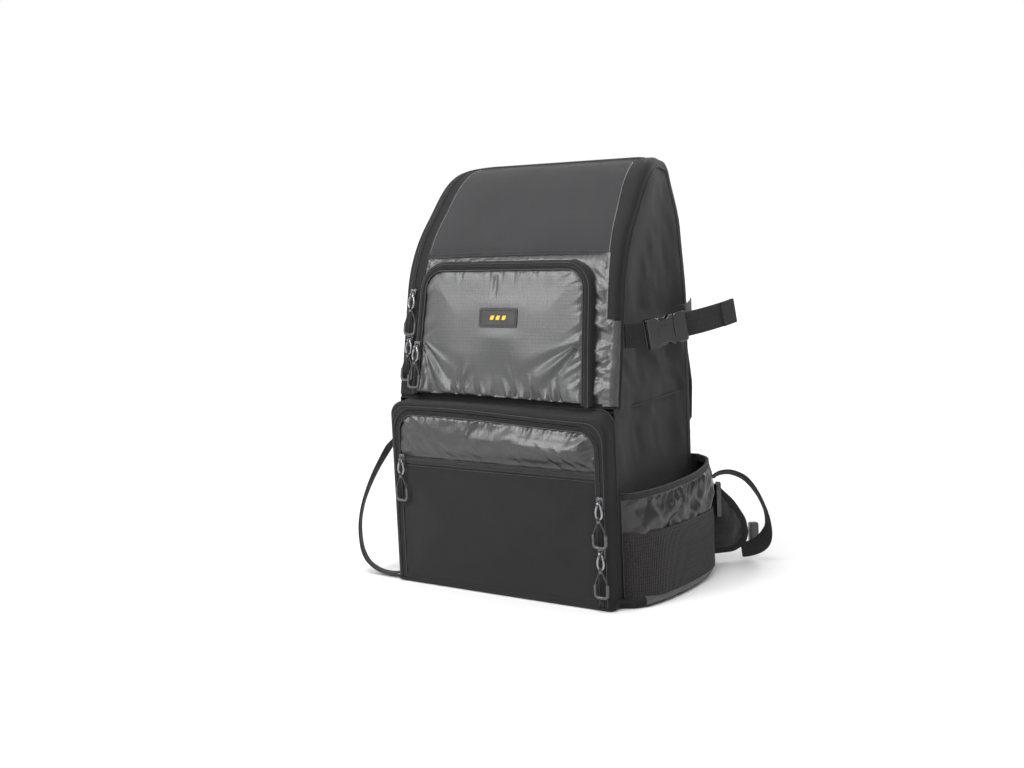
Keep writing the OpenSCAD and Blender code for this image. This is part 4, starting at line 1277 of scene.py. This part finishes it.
# --- Buckles and compression straps ----------------------------------------------
def buckle(name, place, w, socket_body, plug_body, socket_node=None, plug_node=None):
    """A side-release buckle: x along the strap towards the plug, y outwards, z across."""
    m = place @ FACING_BACK
    h = w / 2 + 3
    lid = [(0, -h + 1.5), (1.5, -h), (13, -h), (15, -h + 2.4), (17.5, -h + 4.2), (27, -h + 4.2), (30, -h + 1.6),
           (32, -h), (34.4, -h), (36, -h + 1.6)]
    lid = np.array(lid)
    lid = np.vstack([lid, [[34.6, 0]], lid[::-1] * [1, -1]])
    parts = [plate(f"{name}_lid", lid, 8.0, 11.2, m, PLASTIC, bevel=1.4),
             plate(f"{name}_floor", lid, 0.2, 2.4, m, PLASTIC, bevel=0.7)]
    for k, z in enumerate((-1, 1)):
        rail = np.array([(0.4, z * h), (13, z * h), (14.6, z * (h - 2.2)), (14.2, z * (h - 4)),
                         (0.4, z * (h - 3))])
        parts.append(plate(f"{name}_rail_{k}", rail, 2.2, 8.6, m, PLASTIC, bevel=0.5))
        cap = np.array([(30.4, z * (h - 1.4)), (32, z * h), (35.6, z * h), (35.6, z * (h - 2.6)),
                        (31, z * (h - 3.2))])
        parts.append(plate(f"{name}_post_{k}", cap, 2.2, 8.6, m, PLASTIC, bevel=0.4))
    parts.append(plate(f"{name}_bar", [(-0.2, -h + 1), (4.4, -h + 1), (4.4, h - 1), (-0.2, h - 1)], 5.6, 8.6, m,
                       PLASTIC, bevel=0.8))
    panel = rounded_box(15, w * 0.46, 2, 4) + [22, 0]
    parts.append(plate(f"{name}_pad", panel, 10.8, 12.0, m, PLASTIC, bevel=0.55))
    for o in parts:
        set_on(o, socket_body, "buckle_plastic")
    if socket_node:
        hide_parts(socket_node)
    a = 36.4
    body = [(a, -h + 3.4), (a + 1.6, -h + 1.4), (a + 5, -h), (a + 16.4, -h), (a + 18, -h + 1.6)]
    body = np.array(body)
    body = np.vstack([body, body[::-1] * [1, -1]])
    slots = [rounded_box(3, w, 0.8, 2) + [a + 7.5, 0], rounded_box(3, w, 0.8, 2) + [a + 13.5, 0]]
    plug = [plate(f"{name}_plug", body, 1.6, 9.8, m, PLASTIC, slots, bevel=1.3)]
    for k, z in enumerate((-1, 1)):
        arm = np.array([(a + 0.6, z * (h - 7.4)), (a + 0.6, z * (h - 4.2)), (a - 6, z * (h - 5.2)),
                        (a - 9.6, z * (h - 3.6)), (a - 14, z * (h - 0.6)), (a - 19, z * (h - 0.9)),
                        (a - 23.2, z * (h - 4.2)), (a - 22, z * (h - 6.4)), (a - 14, z * (h - 5.4)),
                        (a - 7, z * (h - 7.6))])
        plug.append(plate(f"{name}_arm_{k}", arm, 2.9, 8.0, m, PLASTIC, bevel=0.6))
    guide = [(a + 0.6, -1.9), (a + 0.6, 1.9), (a - 20, 1.4), (a - 22, 0.6), (a - 22, -0.6), (a - 20, -1.4)]
    plug.append(plate(f"{name}_guide", guide, 3.4, 7.4, m, PLASTIC, bevel=0.4))
    for o in plug:
        set_on(o, plug_body, "buckle_plastic")
    if plug_node:
        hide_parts(plug_node)


def ribbon(name, matrix, path, width, material, body, t=1.7, twist=None):
    """Webbing whose path lies in the x-y plane of a matrix and whose width runs along z."""
    p = np.asarray(path, float)
    p = np.c_[p, np.zeros(len(p))] if p.shape[1] == 2 else p
    p = moved(matrix, p)
    wide = np.array(matrix)[:3, 2]
    travel = unit(np.gradient(p, axis=0))
    rows = []
    for t_now in travel:
        wide = unit(wide - wide @ t_now * t_now)
        rows.append(wide)
    wide = np.array(rows)
    out = np.cross(wide, travel)
    if twist is not None:
        a = np.radians(twist)[:, None]
        wide, out = wide * np.cos(a) + out * np.sin(a), out * np.cos(a) - wide * np.sin(a)
    return set_on(sweep(name, (p, wide, out), strap_section(width, t), material), body, "webbing")


def compression():
    turn = Matrix.Rotation(math.radians(61), 4, "Z") @ Matrix.Rotation(math.radians(-9), 4, "Y")
    turn = Matrix.Translation((177, -50, 320)) @ turn
    right = turn @ Matrix.Diagonal((1, -1, 1, 1))
    for name, flip in (("right", Matrix.Identity(4)), ("left", Matrix.Diagonal((-1, 1, 1, 1)))):
        m = flip @ right
        plug = f"{name}_compression_plug"
        buckle(f"{name}_clip", m, 30, "pack", plug, "compression_sockets" if name == "right" else None, plug)
        lift = flip @ Matrix.Translation((0, 0, 320))
        seam = [(half_w(-68) + 0.6, -69), (half_w(-68) + 1.6, -66), (half_w(-66) + 5.4, -61), (171, -56.4),
                (175.8, -51.4), (178.6, -48.0)]
        lead = ribbon(f"{name}_clip_lead", lift, spline(seam, 5), 29.6, WEBBING, "pack")
        if name == "right":
            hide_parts("compression_anchors")
        tail = spline([(47.6, 5.6), (52, 3.2), (56.5, 4.4), (66, 5.8), (80, 6.6), (93, 5.6), (106, 4),
                       (118, 0.9), (128, -2.4)], 4)
        fold = spline([(128, -2.4), (129.4, -2.1), (129.6, -0.4), (128, 0.4), (118, 3.2), (107, 6.4)], 5)
        loose = ribbon(f"{name}_strap_tail", m, np.vstack([tail, fold[1:]]), 29.6, WEBBING, plug)
        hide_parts(f"{name}_compression_webbing")
        sewn = spline([(195.2, 1.6), (199, 9), (193.5, 24), (186, 40), (176, 62), (166, 84), (157, 100),
                       (149.5, 113)], 5)
        high = flip @ Matrix.Translation((0, 0, 337))
        run = ribbon(f"{name}_strap_run", high, sewn, 29.6, WEBBING, plug)


compression()


# --- Padded pieces ---------------------------------------------------------------
def stuffed(o, cap, voxel=4.5, keep=None, pressure=4.0):
    """The piece remeshed and blown up like a filled cushion, no point moved further than cap.

    keep may limit where its points end up.
    """
    scene = bpy.context.scene

    def applied():
        mesh = bpy.data.meshes.new_from_object(o.evaluated_get(bpy.context.evaluated_depsgraph_get()))
        o.modifiers.clear()
        return mesh

    even = o.modifiers.new("even", "REMESH")
    even.mode, even.voxel_size, even.use_smooth_shade = "VOXEL", voxel * MM, True
    bpy.context.view_layer.update()
    material = o.data.materials[0]
    o.data = applied()
    rest = np.array([v.co for v in o.data.vertices], float)
    fill = o.modifiers.new("fill", "CLOTH")
    fill.settings.use_pressure = True
    fill.settings.uniform_pressure_force = pressure
    fill.settings.effector_weights.gravity = 0
    fill.point_cache.frame_start, fill.point_cache.frame_end = 1, 20
    for f in range(1, 21):
        scene.frame_set(f)
    o.data = applied()
    scene.frame_set(1)
    now = np.array([v.co for v in o.data.vertices], float)
    move = now - rest
    size = np.maximum(np.linalg.norm(move, axis=1, keepdims=True), 1e-9)
    now = rest + move * np.minimum(1, cap * MM / size)
    if keep:
        now = keep(now / MM) * MM
    o.data.vertices.foreach_set("co", now.astype(np.float32).ravel())
    smooth = o.modifiers.new("smooth", "SMOOTH")
    smooth.factor, smooth.iterations = 0.5, 3
    finer = o.modifiers.new("finer", "SUBSURF")
    finer.levels = finer.render_levels = 1
    bpy.context.view_layer.update()
    o.data = applied()
    o.data.materials.clear()
    o.data.materials.append(material)
    o.data.polygons.foreach_set("use_smooth", [True] * len(o.data.polygons))
    return o


def pillow(outline, half_thick):
    """An outline filled with points and triangles, and how far a cushion crowns at each point."""
    flat, tris = triangulated(outline, 6.0)
    d = edge_distance(flat, np.asarray(outline, float))[0]
    crown = half_thick * np.sqrt(np.clip(1 - (1 - np.clip(d / 16, 0, 1)) ** 2, 0.05, 1))
    return flat, tris, crown


def cushion(name, outline, place, thick, material, slots=()):
    """A padded piece before it is filled: place(x, y, h) with h from 0 to thick."""
    flat, tris, crown = pillow(outline, thick / 2)
    dip = np.zeros(len(flat))
    for a, b in slots:
        a, b = np.asarray(a, float), np.asarray(b, float)
        t = np.clip(((flat - a) @ (b - a)) / ((b - a) @ (b - a)), 0, 1)[:, None]
        dip += thick * 0.3 * bell(np.linalg.norm(flat - a - t * (b - a), axis=1), 4.5)
    top = place(flat[:, 0], flat[:, 1], thick / 2 + crown - dip)
    low = place(flat[:, 0], flat[:, 1], thick / 2 - crown)
    verts = np.vstack([top, low])
    return make(name, verts, outward(verts, two_sided(tris, len(flat))), material)


def smoothed(loop, radius=10, n=5):
    return rounded_loop(loop, [radius] * len(loop), n)


def rim_rail(p, normal):
    """A closed edge for sweep(), with its across direction pointing away from the middle."""
    n = np.broadcast_to(np.asarray(normal, float), p.shape)
    out = unit(np.cross(unit(np.roll(p, -1, 0) - np.roll(p, 1, 0)), n))
    return p, out if ((p - p.mean(0)) * out).sum() >= 0 else -out, n


STRAP_SIDE = spline([(BACK_Y + 6, 486), (146, 480), (164, 448), (171, 390), (170, 320), (163, 245), (151, 178)],
                    16)
INNER_Z, INNER_X = (165, 235, 310, 400, 500), (82, 66, 46, 34, 28)
OUTER_Z, OUTER_X = (165, 235, 310, 400, 500), (126, 122, 108, 96, 84)
STRAP_LONG = np.concatenate([[0], np.cumsum(np.linalg.norm(np.diff(STRAP_SIDE, axis=0), axis=1))])


def strap_place(x, t, h):
    """t runs down the strap's middle line in side view and h stands out from it to the rear."""
    x, t, h = np.broadcast_arrays(*(np.asarray(v, float) for v in (x, t, h)))
    turn = unit(np.gradient(STRAP_SIDE, axis=0))
    y, z, ty, tz = (np.interp(t, STRAP_LONG, v) for v in (*STRAP_SIDE.T, *turn.T))
    return np.stack([x, y - h * tz, z + h * ty], -1)


def strap_edges(t, inset):
    z = np.interp(t, STRAP_LONG, STRAP_SIDE[:, 1])
    return np.interp(z, INNER_Z, INNER_X) + inset, np.interp(z, OUTER_Z, OUTER_X) - inset


def shoulder_straps():
    long = STRAP_LONG[-1]
    t = np.linspace(5, long - 12, 40)
    inner, outer = strap_edges(t, 3.5)
    outline = np.vstack([np.c_[inner, t], [[inner[-1] + 5, long - 4], [outer[-1] - 5, long - 4]],
                         np.c_[outer, t][::-1]])

    def clear(p):
        p[:, 1] = np.maximum(p[:, 1], BACK_Y + 0.6)
        return p

    right = cushion("right_shoulder_pad", outline, lambda x, t, h: strap_place(x, t, h - 5), 10, MESH)
    stuffed(right, 4, 4.0, clear)
    left = mirrored(right, "left_shoulder_pad")
    for o, name in ((right, "right"), (left, "left")):
        set_on(o, "pack", "padding", f"{name}_shoulder_strap")
    edge = resampled(outline, 5, True)
    p = strap_place(edge[:, 0], edge[:, 1], 0)
    n = unit(strap_place(edge[:, 0], edge[:, 1], 1) - p)
    trim = [(-1.5, 3.2), (0.8, 3.0), (2.2, 1.6), (2.5, 0), (2.2, -1.6), (0.8, -3.0), (-1.5, -3.2)]
    trim = sweep("right_strap_binding", rim_rail(p, n), trim, BINDING, closed=True)
    web_t = np.linspace(70, long - 10, 60)
    a, b = strap_edges(web_t, 0)
    band = np.c_[(a + b) / 2, web_t]
    rail = laid(band, strap_place, 7.4)
    web = sweep("right_strap_daisy", rail, strap_section(24, 1.5), WEBBING)
    bars = []
    for k in range(5):
        at = 4 + k * 11
        bars.append(np.c_[band[at, 0] + np.linspace(-11, 11, 12), np.full(12, band[at, 1])])
    for o in (trim, web):
        set_on(o, "pack", "webbing")
        set_on(mirrored(o, o.name.replace("right", "left")), "pack", "webbing")
    for k, bar in enumerate(bars):
        o = stitches(f"right_strap_tack_{k}", bar, strap_place, 8.3, THREAD, 1.8, 2.4, 1.2)
        set_on(o, "pack")
        set_on(mirrored(o, f"left_strap_tack_{k}"), "pack")


shoulder_straps()


def both(o, body="pack", slot="webbing"):
    set_on(o, body, slot)
    twin = mirrored(o, o.name.replace("right", "left"))
    set_on(twin, body, slot)
    return twin


def strap_fittings():
    lock_at = Matrix.Translation((104, 149.5, 162)) @ Matrix.Rotation(math.radians(-10), 4, "X")
    flat = lock_at @ FACING_BACK
    frame_out = smoothed([(-18, -13), (18, -13), (17, 13), (-17, 13)], 4)
    slots = [rounded_box(27, 4.2, 1.2, 3) + [0, -6], rounded_box(27, 4.2, 1.2, 3) + [0, 4]]
    lock = plate("right_ladder_lock", frame_out, -2.8, 2.8, flat, PLASTIC, slots, bevel=1.1)
    lip = plate("right_ladder_lip", smoothed([(-15, -13.4), (15, -13.4), (12, -9.6), (-12, -9.6)], 1.5, 3), 2.2,
                5.2, flat, PLASTIC, bevel=0.9)
    both(lock, slot="buckle_plastic")
    both(lip, slot="buckle_plastic")
    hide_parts("shoulder_ladder_locks")
    low = spline([(104, 151.6, 172), (104, 152.6, 162), (104.2, 149.6, 153), (104.6, 148, 146), (107, 141, 122),
                  (113, 131, 78), (118, 123.6, 46), (120, 121.6, 34)], 6)
    rail = framed(low, (0, 1, 0.2))
    web = sweep("right_shoulder_webbing", rail, strap_section(23.6, 1.6), WEBBING)
    both(web)
    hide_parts("shoulder_webbing")
    end = plate("right_webbing_tab", smoothed([(-16, -8), (16, -8), (13, 16), (-13, 16)], 3), 0.6, 2.6,
                Matrix.Translation((121, BACK_Y, 26)) @ FACING_BACK, CANVAS_SOLID, bevel=0.5)
    both(end, slot="matte_fabric")
    tail = spline([(104, 152.6, 164), (104, 155, 160), (103.4, 156.6, 150), (102.5, 155, 128),
                   (103, 152.5, 108), (103.4, 152, 99)], 6)
    loose = sweep("right_shoulder_tail", framed(tail, (0, 1, 0.1)), strap_section(23.6, 1.6), WEBBING)
    left = both(loose)


strap_fittings()


def pads():
    def near_back(top):
        def keep(p):
            p[:, 1] = np.clip(p[:, 1], BACK_Y + 1.2, top)
            return p
        return keep

    tall = rounded_box(90, 244, 22, 7) + [66, 300]
    slots = [((30, 300 + k * 48), (102, 300 + k * 48)) for k in (-2, -1, 0, 1, 2)]
    pad = cushion("right_back_pad", tall, lambda x, z, h: behind(x, z, h + 1), 12.5, MESH, slots)
    stuffed(pad, 5, 4.5, near_back(BACK_Y + 15))
    twin = mirrored(pad, "left_back_pad")
    for o in (pad, twin):
        set_on(o, "pack", "padding")
    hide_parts("back_pads")
    wide = rounded_box(180, 110, 30, 7) + [0, 92]
    slots = [((-46, 42), (-46, 142)), ((0, 40), (0, 144)), ((46, 42), (46, 142))]
    pad = cushion("lumbar_cushion", wide, lambda x, z, h: behind(x, z, h + 1), 16, MESH, slots)
    stuffed(pad, 6, 4.5, near_back(BACK_Y + 19))
    set_on(pad, "pack", "padding", "lumbar_pad")
    trim = [(-1.2, 0.2), (1.8, 0.2), (2.4, 1.2), (2.2, 3), (0.8, 3.8), (-1.2, 3.4)]
    for name, outline in (("right_back_trim", rounded_box(92, 246, 22, 9) + [66, 300]),
                          ("lumbar_trim", rounded_box(182, 112, 30, 9) + [0, 92])):
        p = behind(outline[:, 0], outline[:, 1], 0.4)
        o = sweep(name, rim_rail(p, (0.0, 1, 0)), trim, BINDING, closed=True)
        if name.startswith("right"):
            both(o)
        else:
            set_on(o, "pack", "webbing")


pads()


def handle_and_loop():
    path = [(-50, BACK_Y + 1.0), (-48.6, BACK_Y + 6), (-45, BACK_Y + 14), (-34, BACK_Y + 24.4),
            (-16, BACK_Y + 27.4), (0, BACK_Y + 28), (16, BACK_Y + 27.4), (34, BACK_Y + 24.4), (45, BACK_Y + 14),
            (48.6, BACK_Y + 6), (50, BACK_Y + 1.0)]
    lift = Matrix.Translation((0, 0, 499.5))
    grab = ribbon("grab_handle_webbing", lift, spline(path, 6), 16, WEBBING, "pack", 2.4)
    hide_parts("grab_handle")
    grip = spline([(-30, BACK_Y + 24.2), (-16, BACK_Y + 26.6), (0, BACK_Y + 27.2), (16, BACK_Y + 26.6),
                   (30, BACK_Y + 24.2)], 8)
    p = moved(lift, np.c_[grip, np.zeros(len(grip))])
    swell = 1 - 0.35 * (np.abs(np.linspace(-1, 1, len(p))) ** 6)
    section = round_section(8.6, 3.4, 16)[None] * swell[:, None, None]
    cover = sweep("grab_handle_cover", framed(p, (0, 0, 1)), section[..., ::-1], CANVAS)
    set_on(cover, "pack", "matte_fabric")
    for k, x in enumerate((-50, 50)):
        foot = plate(f"grab_handle_foot_{k}", smoothed([(x - 11, 488), (x + 11, 488), (x + 10, 511),
                                                        (x - 10, 511)], 3), 0.5, 2.4,
                     Matrix.Translation((0, BACK_Y, 0)) @ FACING_BACK, WEBBING, bevel=0.5)
        set_on(foot, "pack", "webbing")
    path = spline([(-164.4, 186), (-177, 176), (-190, 160), (-207, 137), (-222, 112), (-233, 88), (-239.2, 62),
                   (-238, 34), (-230, 17), (-218, 8.6), (-205, 4.2), (-190, 3), (-176, 4.6), (-165, 8)], 5)
    stand = Matrix.Translation((0, -112.5, 0)) @ FACING_FRONT
    twist = 30 * np.sin(np.linspace(0, math.pi, len(path))) * np.sin(np.linspace(0, 3.3, len(path)))
    loop = ribbon("side_webbing_loop", stand, path, 18.6, WEBBING, "pack", 1.7, twist=twist)
    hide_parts("side_loop")


handle_and_loop()


def sternum():
    place = Matrix.Translation((-35.7, 184, 372)) @ Matrix.Diagonal((1, -1, 1, 1))
    buckle("sternum_clip", place, 20, "pack", "sternum_plug", "sternum_socket", "sternum_plug")
    left = spline([(-64, 178.6), (-56, 179.8), (-45, 180.2), (-38, 180.4), (-33.4, 180.6)], 5)
    right = spline([(8.4, 180.4), (14, 180.8), (24, 180.4), (38, 180.2), (52, 179.8), (64, 178.6)], 5)
    lift = Matrix.Translation((0, 0, 372))
    web = ribbon("sternum_webbing_left", lift, left, 19.6, WEBBING, "pack")
    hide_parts("sternum_webbing")
    ribbon("sternum_webbing_right", lift, right, 19.6, WEBBING, "pack")
    for k, x in enumerate((-62, 62)):
        slide = plate(f"sternum_slide_{k}", smoothed([(x - 7, 358), (x + 7, 358), (x + 7, 386), (x - 7, 386)],
                                                     2.5, 4), -1.2, 3.2,
                      Matrix.Translation((0, 180.2, 0)) @ FACING_BACK, PLASTIC,
                      [rounded_box(3, 21, 1, 2) + [x - 2.6, 372], rounded_box(3, 21, 1, 2) + [x + 3, 372]],
                      bevel=0.8)
        set_on(slide, "pack", "buckle_plastic")


sternum()


def hips():
    yaw = math.radians(50)
    wing = Matrix.Translation((150, BACK_Y + 7, 0)) @ Matrix.Rotation(yaw, 4, "Z")
    flat = wing @ FACING_FRONT

    def place(u, z, h):
        u, z, h = np.broadcast_arrays(*(np.asarray(v, float) for v in (u, z, h)))
        return moved(flat, np.stack([u, z, h], -1).reshape(-1, 3)).reshape(u.shape + (3,))

    outline = smoothed([(1, 13), (42, 13), (57, 21), (62, 34), (58, 54), (43, 78), (21, 100), (1, 110)], 7)
    slots = [((12, 26), (46, 27)), ((46, 27), (51, 38)), ((51, 38), (36, 72)), ((36, 72), (12, 90))]
    pad = cushion("right_wing_pad", outline, lambda u, z, h: place(u, z, h - 5.5), 11, MESH, slots)
    stuffed(pad, 4, 4.0)
    p = resampled(outline, 4, True)
    at = place(p[:, 0], p[:, 1], 0)
    trim = [(-6.0, 3.0), (-1.8, 4.0), (0.8, 3.6), (2.4, 2.0), (2.8, 0), (2.4, -2.0), (0.8, -3.6), (-1.8, -4.0),
            (-6.0, -3.0)]
    trim = sweep("right_wing_binding", rim_rail(at, np.array(flat)[:3, 2]), trim, BINDING, closed=True)
    lock = Matrix.Translation((71.5, 0, 33))
    lock = wing @ lock @ FACING_FRONT
    slots = [rounded_box(2.6, 22, 1, 3) + [-2.6, 0], rounded_box(2.6, 22, 1, 3) + [3.4, 0]]
    lock = plate("right_wing_lock", smoothed([(-6, -14.5), (5, -14.5), (6.4, -12), (6.4, 12), (5, 14.5),
                                              (-6, 14.5)], 1.8, 3), -3, 3, lock, PLASTIC, slots, bevel=1.0)
    at = Matrix.Translation((172, 131.5, 86)) @ Matrix.Rotation(math.radians(36), 4, "Z")
    face = at @ Matrix(((0, 0, 1, 0), (1, 0, 0, 0), (0, 1, 0, 0), (0, 0, 0, 1)))
    clip = plate("right_wing_clip", smoothed([(-6.5, -23), (6.5, -23), (6.5, 23), (-6.5, 23)], 2.4, 4), -3, 3,
                 face, PLASTIC, [rounded_box(5, 34, 1.5, 3)], bevel=1.0)
    path = spline([(5, 113, 0), (9, 117, 0), (17, 120.4, 0), (28, 121, 0), (40, 117, 0), (50, 110, 0),
                   (60, 97, 0), (68, 82, 0), (74, 65, 0), (76, 48, 0), (74, 37, -3), (69, 27, -8),
                   (62, 20, -13), (54, 15.5, -17), (46, 13, -19), (40, 12.4, -20)], 5)
    loop_at = Matrix.Translation((158, 132, 0)) @ Matrix.Rotation(math.radians(25.6), 4, "Z")
    loop_at = loop_at @ FACING_FRONT
    s = np.linspace(0, 1, len(path))
    twist = np.interp(s, (0, 0.16, 0.32, 0.46, 0.58, 0.7, 0.8, 1), (14, 26, 28, 14, 16, 48, 66, 72))
    twist = np.convolve(np.pad(twist, 5, mode="edge"), np.ones(11) / 11, "valid")
    loop = ribbon("right_hip_loop", loop_at, path, 21.6, WEBBING, "right_hip_wing", 1.7, twist=twist)
    for o, slot, nodes in ((pad, "padding", ["hip_wing"]), (trim, "webbing", []),
                           (lock, "buckle_plastic", ["hip_ladder_lock"]),
                           (clip, "buckle_plastic", ["hip_buckle"]), (loop, "webbing", ["hip_webbing"])):
        if o is not loop:
            set_on(o, "right_hip_wing", slot)
        if nodes:
            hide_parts(f"right_{nodes[0]}")
        twin = mirrored(o, o.name.replace("right", "left"))
        set_on(twin, "left_hip_wing", slot)
        if nodes:
            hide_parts(f"left_{nodes[0]}")


hips()


# --- Cloth that joins the flaps to the body --------------------------------------
def hinge_strip(name, width, rail_points, material=CANVAS):
    across = np.linspace(-width / 2, width / 2, 60)
    rail_points = np.asarray(rail_points, float)
    verts, faces = [], []
    m = len(rail_points)
    for x in across:
        verts += [(x, *p) for p in rail_points]
    for i in range(59):
        for j in range(m):
            faces.append([i * m + j, i * m + (j + 1) % m, (i + 1) * m + (j + 1) % m, (i + 1) * m + j])
    faces += [list(range(m))[::-1], [59 * m + j for j in range(m)]]
    uv = [(v[0], v[2] - v[1]) for v in verts]
    o = make(name, verts, outward(verts, faces), material, uv)
    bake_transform(o)


hinge_strip("lower_hinge_cloth", 298,
            [(-123.4, 1.0), (-125.2, 2.4), (-125.6, 5.2), (-125.6, 9.5), (-124.2, 9.5), (-124.0, 5.2),
             (-122.6, 3.0)])
low = [lean_plane(0, s, 0.4)[1:] for s in (-0.5, 2, 5, 9)]
high = [lean_plane(0, s, -1.2)[1:] for s in (9, 5, 2, -0.5)]
hinge_strip("main_hinge_cloth", 324, low + high)

stiff_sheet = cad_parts["frame_sheet"].data.materials
stiff_sheet.clear()
stiff_sheet.append(SHEET)
